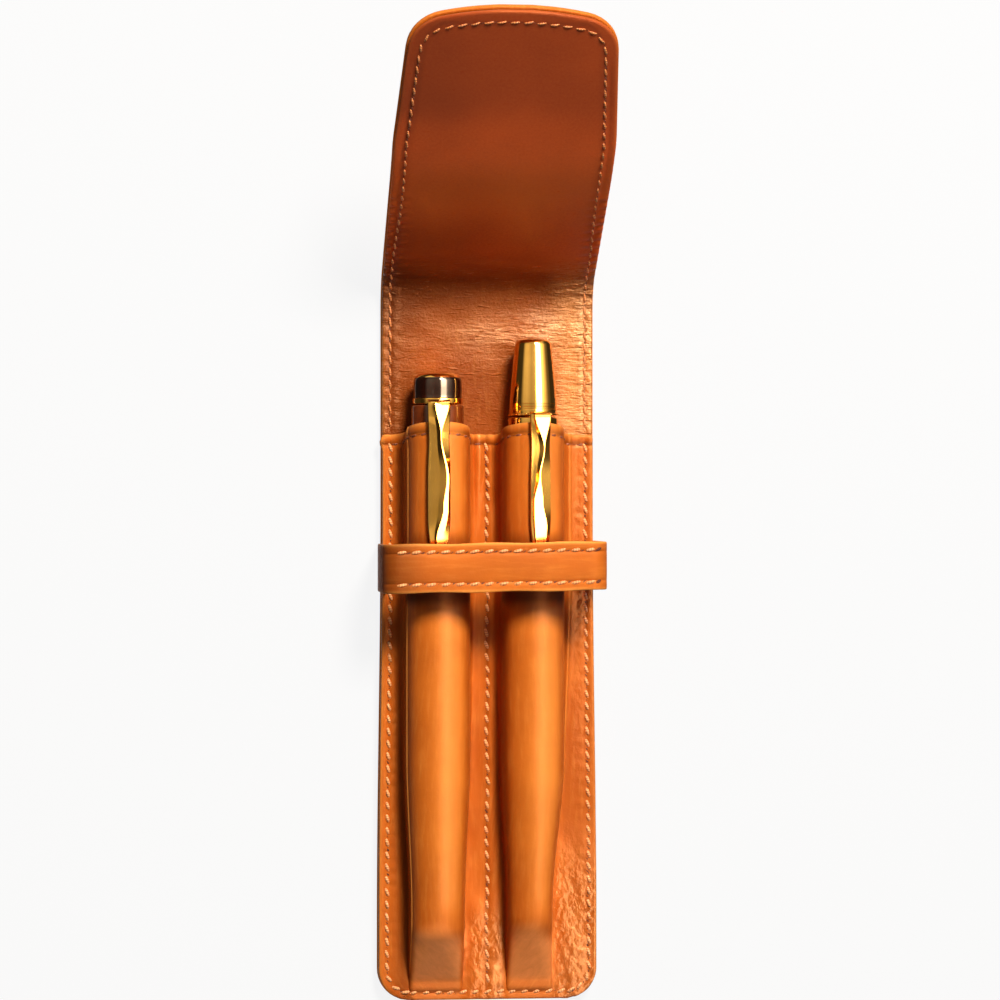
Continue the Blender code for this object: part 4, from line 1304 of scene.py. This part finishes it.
penShapes = {
    "left": {
        "x": tubes[0]["x"], "z": tubes[0]["axisZ"],
        "cap": 0.0065, "capMouth": 0.0840, "head": 0.1478, "body": "left_pen",
        "clipLength": 0.0396, "clipWidth": 0.0056, "clipTurn": radians(-2.5),
        "facetLean": radians(11),      # so that the wide facets mirror the light
        "ridgeCentre": [(0, 0.26), (0.20, 0.20), (0.46, 0.76), (0.65, 0.58), (0.85, 0.10), (1, 0.0)],
        "ridgeSpread": [(0, 0.60), (0.20, 0.03), (0.46, 0.09), (0.65, 0.20), (0.85, 0.36), (1, 0.30)],
    },
    "right": {
        "x": tubes[1]["x"], "z": tubes[1]["axisZ"],
        "cap": 0.0062, "capMouth": 0.0850, "head": 0.1449, "body": "right_pen",
        "clipLength": 0.0367, "clipWidth": 0.0052, "clipTurn": radians(6),
        "facetLean": radians(4),
        "ridgeCentre": [(0, 0.12), (0.22, 0.30), (0.40, -0.15), (0.58, -0.27), (0.75, -0.05), (1, 0.0)],
        "ridgeSpread": [(0, 0.72), (0.22, 0.03), (0.40, 0.06), (0.58, 0.42), (0.75, 0.60), (1, 0.50)],
    },
}
clipShape = {
    "lift": 0.0007,
    "sheet": 0.0007,
    "ridge": 0.0010,
    "tipWidth": 0.0036,
    "tipRound": 0.0011,
    "taper": 0.012,
    "bend": 0.0009,
    "rootRound": 0.0016,
    "collarLength": 0.0014,
    "collarRadius": 0.0062,
    "rungs": 72,
}
seatGap = 0.0003


def turnedPiece(name, profile, pen, look, node=None, segments=96, ripple=None, closed=False):
    # profile runs from the crown end down the outside, as (radius, along)
    # ripple(radius, along, angle) adds detail
    verts, laid = [], []
    for radius, along in profile:
        for s in range(segments):
            turn = 2 * pi * s / segments
            r = radius + (ripple(radius, along, turn) if ripple else 0.0)
            verts.append((pen["x"] + r * sin(turn), along - originAlong, pen["z"] + r * cos(turn)))
            laid.append((turn * 0.006, along))
    piece = meshPiece(name, verts, ringFaces(0, len(profile), segments, closed), laid, 32)
    piece.data.materials.append(look)
    if node:
        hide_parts(node)
    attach(piece, pen["body"])
    return piece


def filletTo(radius, along, size, start, end, steps=6):
    # a quarter round with its centre at (radius, along)
    turns = [radians(mix(start, end, i / steps)) for i in range(steps + 1)]
    return [(radius + size * cos(turn), along + size * sin(turn)) for turn in turns]


def finishBetween(piece, look, low, high):
    # a second finish on the faces between two places along the pen
    piece.data.materials.append(look)
    inside = [int(low < f.center.y + originAlong < high) for f in piece.data.polygons]
    piece.data.polygons.foreach_set("material_index", inside)


def makeCap(side, pen, look):
    r, head, mouth = pen["cap"], pen["head"], pen["capMouth"]
    profile = [(0.0020, head)] + filletTo(r - 0.0004, head - 0.0004, 0.0004, 90, 0)
    profile += [(r, head - 0.004), (r, head - 0.020), (r, mouth + 0.0060)]
    profile += [(r + 0.00012, mouth + 0.0057), (r + 0.00012, mouth + 0.0030), (r, mouth + 0.0027)]
    profile += filletTo(r - 0.0003, mouth + 0.0003, 0.0003, 0, -90)
    profile += [(r - 0.0009, mouth), (r - 0.0009, head - 0.0030), (0.0020, head - 0.0030)]
    cap = turnedPiece(side + "Cap", profile, pen, look, side + "_pen_cap", closed=True)
    finishBetween(cap, mirrorGold, -1, mouth + 0.0060)


def makeLeftCrown(pen):
    base = pen["head"] + 2 * seatGap + clipShape["collarLength"]
    top = base + 0.0060
    profile = [(0.0003, top), (0.0022, top - 0.00005)] + filletTo(0.0037, top - 0.0022, 0.0022, 84, 4, 10)
    profile += [(0.00597, base + 0.0026), (0.00600, base + 0.0016), (0.00594, base + 0.0009)]
    base -= seatGap
    profile += filletTo(0.00582, base + 0.00015, 0.00015, 30, -90, 4)
    profile += [(0.0017, base), (0.0017, pen["head"] - 0.0027)]
    crown = turnedPiece("leftCrown", profile, pen, mirrorGold, "left_pen_crown")
    finishBetween(crown, darkLacquer, base, top - 0.0013)


def makeRightCrown(pen):
    base = pen["head"] + 2 * seatGap + clipShape["collarLength"] + 0.0014 + seatGap
    top = base + 0.0158
    profile = [(0.0003, top), (0.0016, top - 0.00008), (0.0025, top - 0.00028)]
    profile += filletTo(0.0030, top - 0.0017, 0.00150, 76, 6, 8)
    for share in (0.12, 0.3, 0.5, 0.7, 0.9):
        profile.append((mix(0.00452, 0.00566, share ** 0.85), mix(top - 0.0022, base + 0.0026, share)))
    base -= seatGap
    profile += [(0.00580, base + 0.0010), (0.00586, base + 0.00006), (0.00580, base)]
    profile += [(0.0017, base), (0.0017, pen["head"] - 0.0027)]
    return turnedPiece("rightCrown", profile, pen, mirrorGold, "right_pen_crown")


def makeRing(pen):
    base = pen["head"] + 2 * seatGap + clipShape["collarLength"]
    high = base + 0.0014
    groove = base + 0.0006
    profile = [(0.0020, high), (0.00582, high), (0.00588, high - 0.00006), (0.00590, groove + 0.00014),
               (0.00578, groove + 0.00006), (0.00578, groove - 0.00006), (0.00592, groove - 0.00014)]
    profile += [(0.00594, base + 0.00006), (0.00588, base), (0.0020, base)]
    return turnedPiece("rightRing", profile, pen, mirrorGold, "right_pen_ring", closed=True)


def makeCollar(side, pen):
    low = pen["head"] + seatGap
    high = low + clipShape["collarLength"]
    r = clipShape["collarRadius"]
    beaded = side == "right"
    if beaded:
        r, high = 0.0059, high + seatGap
    profile = [(0.0020, high)] + filletTo(r - 0.00012, high - 0.00012, 0.00012, 90, 0, 3)
    if beaded:
        profile += [(r, low + 0.0009)] + filletTo(r - 0.0001, low + 0.0004, 0.0003, 80, -80, 8)
    else:
        profile += filletTo(r - 0.0003, low + 0.0003, 0.0003, 0, -90, 4)
    profile.append((0.0020, low))

    def pips(radius, along, turn):
        beside = bell(along - low - 0.0004, 0.00025)
        return (0.00022 * max(cos(turn * 17), 0.0) ** 2 - 0.00006) * beside if radius > 0.004 else 0.0

    return turnedPiece(side + "ClipCollar", profile, pen, clipGold, segments=272 if beaded else 96,
                       ripple=pips if beaded else None, closed=True)


def makeClip(side, pen):
    # across: left edge, two ridges with a bright facet between them, right edge, and the flat underside
    root = pen["head"] + seatGap
    edgeZ = pen["cap"] + seatGap + 0.0012 + clipShape["lift"] + clipShape["sheet"]
    collarMid = root + clipShape["collarLength"] / 2
    bendFrom, bendZ = collarMid + 0.0003, edgeZ - clipShape["rootRound"]
    rows = [(collarMid + 0.0002, clipShape["collarRadius"] - 0.0004, 0.0), (bendFrom, bendZ, 0.0)]
    for i in range(1, 6):
        turn = radians(90 * i / 5)
        rows.append((bendFrom - clipShape["bend"] * (1 - cos(turn)),
                     bendZ + clipShape["rootRound"] * sin(turn), 0.15 * i))
    length, rungs = pen["clipLength"], clipShape["rungs"]
    rows += [(root - length * i / rungs, edgeZ, 1.0) for i in range(1, rungs + 1)]
    verts, laid = [], []
    tilt = Matrix.Rotation(pen["clipTurn"], 3, "Y")
    for along, z, ridged in rows:
        t = min(max((root - along) / length, 0.0), 1.0)
        nearTip = smoothStep(1 - (1 - t) * length / clipShape["taper"])
        half = mix(pen["clipWidth"], clipShape["tipWidth"], nearTip) / 2
        pastRound = t * length - length + clipShape["tipRound"]
        if pastRound > 0:
            half *= sqrt(max(1 - (pastRound / clipShape["tipRound"]) ** 2, 0.05))
        waist = 1 - 0.10 * bell(t - 0.22, 0.12)
        centre, wide = keyed(pen["ridgeCentre"], t), keyed(pen["ridgeSpread"], t)
        height = clipShape["ridge"] * ridged * (1 - 0.55 * nearTip)
        z -= 0.0009 * bell(t - 0.965, 0.03)
        left, right = max(centre - wide, -0.86), min(centre + wide, 0.86)
        lean = tan(pen["facetLean"]) * (right - left) * half
        hollow = height * mix(0.34, 1.0, rise(lean, 0.0001, 0.0004))
        section = [(-1.0, -0.00035), (-0.94, 0.0), (mix(-0.94, left, 0.30), 0.20 * hollow),
                   (mix(-0.94, left, 0.66), 0.54 * hollow), (left, height),
                   ((left + right) / 2, height - lean * 0.4), (right, max(height - lean, 0.12 * height)),
                   (0.94, 0.0), (1.0, -0.00035), *((u, -clipShape["sheet"]) for u in (0.94, 0.0, -0.94))]
        for u, h in section:
            p = tilt @ Vector((u * half * waist, 0, z + h))
            verts.append((pen["x"] + p.x, along - originAlong, pen["z"] + p.z))
            laid.append((u * half, along))
    piece = meshPiece(side + "Clip", verts, ringFaces(0, len(rows), len(section)), laid, 14)
    piece.data.materials.append(clipGold)
    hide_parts(side + "_pen_clip")
    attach(piece, pen["body"])
    return piece


for side, pen in penShapes.items():
    makeCap(side, pen, redLacquer if side == "left" else mirrorGold)
    makeCollar(side, pen)
    makeClip(side, pen)
makeLeftCrown(penShapes["left"])
makeRightCrown(penShapes["right"])
makeRing(penShapes["right"])

# Parts that stay as the CAD made them get their finish here
keptLooks = {"board": fibreBoard, "section": satinBlack, "nib": pointSteel, "cartridge": inkTube,
             "barrel": tubeGold}
for nodeName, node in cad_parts.items():
    for ending, look in keptLooks.items():
        if nodeName.endswith("_" + ending):
            node.data.materials.clear()
            node.data.materials.append(look)
print("pens made")


# Stage: a pale floor, one large soft light from the right and above, and dark cards for the gold to mirror

stageLook = {
    "floor": (0.50, 0.49, 0.48),
    "floorGlow": 0.88,
    "keyPower": 22.8,
    "keySize": (0.26, 0.30),
    "keyPlace": (0.25, 0.70, 0.92),
    "fillPower": 0.60,
    "skyStrength": 0.065,
    "roomRadius": 1.6,
    # brightness that the gold mirrors, from the left horizon over the top to the right horizon
    "room": [(0.0, 0.03), (0.13, 0.03), (0.21, 0.50), (0.30, 0.55), (0.42, 0.36), (0.52, 0.44), (0.55, 1.4),
             (0.572, 17.0), (0.68, 17.0), (0.725, 2.4), (0.76, 1.5), (0.82, 0.80), (0.90, 0.15), (1.0, 0.06)],
    "roomAlong": [(0.0, 1.0), (0.30, 0.70), (0.44, 0.85), (0.50, 1.0), (0.56, 1.0), (0.66, 1.9), (0.80, 1.6),
                  (1.0, 0.6)],
    "cardFrom": 0.0290,          # dark cards on the floor either side, seen only in reflections
    "cardTone": 0.05,
}


def whiteForCamera(tree, share):
    seen = [tree.add("LightPath", {}, kind) for kind in
            ("Is Camera Ray", "Is Glossy Ray", "Is Transmission Ray")]
    either = tree.combine("MAXIMUM", tree.combine("MAXIMUM", seen[0], seen[1]), seen[2])
    return tree.combine("MULTIPLY", either, share)


def makeFloor():
    reach = 4.0
    mesh = bpy.data.meshes.new("floor")
    corners = [(-reach, -reach, 0), (reach, -reach, 0), (reach, reach, 0), (-reach, reach, 0)]
    mesh.from_pydata(corners, [], [(0, 1, 2, 3)])
    floor = bpy.data.objects.new("floor", mesh)
    floor.location = (0, 0, -0.0002)
    bpy.context.scene.collection.objects.link(floor)
    tree = treeOf("paleFloor")
    tree.shade({"Base Color": stageLook["floor"], "Roughness": 0.9, "Specular IOR Level": 0.1})
    glow = tree.add("Emission", {"Color": (1, 1, 1), "Strength": 1.0})
    share = whiteForCamera(tree, stageLook["floorGlow"])
    mixed = tree.add("MixShader", {0: share, 1: tree.shader.outputs["BSDF"], 2: glow})
    mesh.materials.append(tree.lit(mixed))


def glowing(piece, tree, colour):
    # lit by itself and seen only in reflections
    tree.nodes.remove(tree.shader)
    piece.data.materials.append(tree.lit(tree.add("Emission", {"Color": colour})))
    piece.visible_camera = piece.visible_diffuse = piece.visible_shadow = piece.visible_transmission = False


def toned(tree, source, table, warm):
    ramp = tree.add("ValToRGB", {"Fac": source}).node
    stops = ramp.color_ramp.elements
    while len(stops) < len(table):
        stops.new(0.5)
    for stop, (where, tone) in zip(stops, table):
        stop.position = where
    for stop, (where, tone) in zip(stops, table):
        stop.color = (tone, tone * warm[0], tone * warm[1], 1)
    return ramp.outputs["Color"]


def makeRoom():
    # a half round tunnel along the case
    steps, reach, radius = 48, 1.5, stageLook["roomRadius"]
    verts, laid = [], []
    for i in range(steps + 1):
        turn = pi * i / steps
        for end in (-1, 1):
            verts.append((-radius * cos(turn), end * reach, radius * sin(turn) - 0.05))
            laid.append((i / steps / 10, end * 0.05))
    faces = [(2 * i, 2 * i + 1, 2 * i + 3, 2 * i + 2) for i in range(steps)]
    room = meshPiece("studioRoom", verts, faces, laid)
    tree = treeOf("studioRoomLight")
    parts = tree.add("SeparateXYZ", {0: tree.add("UVMap", {}, "UV", uv_map="laidFlat")}).node.outputs
    around = toned(tree, parts["X"], stageLook["room"], (0.93, 0.84))
    along = toned(tree, tree.range(parts["Y"], -0.5, 0.5), stageLook["roomAlong"], (1.0, 1.0))
    glowing(room, tree, tree.mix(1.0, around, along, "MULTIPLY"))


def makeCards():
    for side, name in ((-1, "leftCard"), (1, "rightCard")):
        near, far = side * stageLook["cardFrom"], side * 1.5
        corners = [(near, -1.2, 0.0004), (far, -1.2, 0.0004), (far, 1.2, 0.0004), (near, 1.2, 0.0004)]
        card = meshPiece(name, corners, [(0, 1, 2, 3)], [(0, 0), (1, 0), (1, 1), (0, 1)])
        tone = stageLook["cardTone"]
        glowing(card, treeOf(name + "Paper"), (tone, tone * 0.9, tone * 0.8))


def makeLamp(name, place, target, size, power, colour):
    lamp = bpy.data.lights.new(name, "AREA")
    lamp.shape = "RECTANGLE"
    lamp.size, lamp.size_y = size
    lamp.energy = power
    lamp.color = colour
    holder = bpy.data.objects.new(name, lamp)
    holder.location = place
    holder.rotation_euler = (Vector(target) - Vector(place)).to_track_quat("-Z", "Y").to_euler()
    bpy.context.scene.collection.objects.link(holder)


def makeSky():
    tree = Tree(bpy.data.worlds.new("studioWhite"))
    tree.nodes.clear()
    soft = tree.add("Background", {"Color": (1.0, 0.985, 0.96), "Strength": stageLook["skyStrength"]})
    white = tree.add("Background", {"Color": (1, 1, 1), "Strength": 1.0})
    mixed = tree.add("MixShader", {0: whiteForCamera(tree, 1.0), 1: soft, 2: white})
    tree.put(mixed, tree.nodes.new("ShaderNodeOutputWorld").inputs[0])
    bpy.context.scene.world = tree.owner


makeFloor()
makeSky()
lampAim = (0, 0.03, 0)
makeLamp("keyLight", stageLook["keyPlace"], lampAim, stageLook["keySize"], stageLook["keyPower"],
         (1.0, 0.97, 0.92))
makeLamp("fillLight", (-0.55, -0.35, 0.9), lampAim, (0.7, 0.7), stageLook["fillPower"], (1.0, 0.96, 0.92))
makeRoom()
makeCards()

# Camera: straight over the case and a little to its left, as in the photo
cameraPlace = {"height": 0.85, "x": -0.080, "y": 0.03875, "aimX": 0.0034, "lens": 122.4}
camera = bpy.data.cameras.new("photoCamera")
holder = bpy.data.objects.new("photoCamera", camera)
place = Vector((cameraPlace["x"], cameraPlace["y"], cameraPlace["height"]))
aim = Vector((cameraPlace["aimX"], cameraPlace["y"], 0.0))
camera.lens = cameraPlace["lens"] * (aim - place).length / cameraPlace["height"]
camera.sensor_width = 36
camera.clip_start = 0.01
camera.clip_end = 20
forward = (aim - place).normalized()
right = forward.cross(Vector((0, 1, 0))).normalized()
up = right.cross(forward)
holder.matrix_world = Matrix((
    (right.x, up.x, -forward.x, place.x),
    (right.y, up.y, -forward.y, place.y),
    (right.z, up.z, -forward.z, place.z),
    (0, 0, 0, 1),
))
bpy.context.scene.collection.objects.link(holder)
bpy.context.scene.camera = holder
bpy.context.scene.view_settings.view_transform = "Standard"
print("stage made")
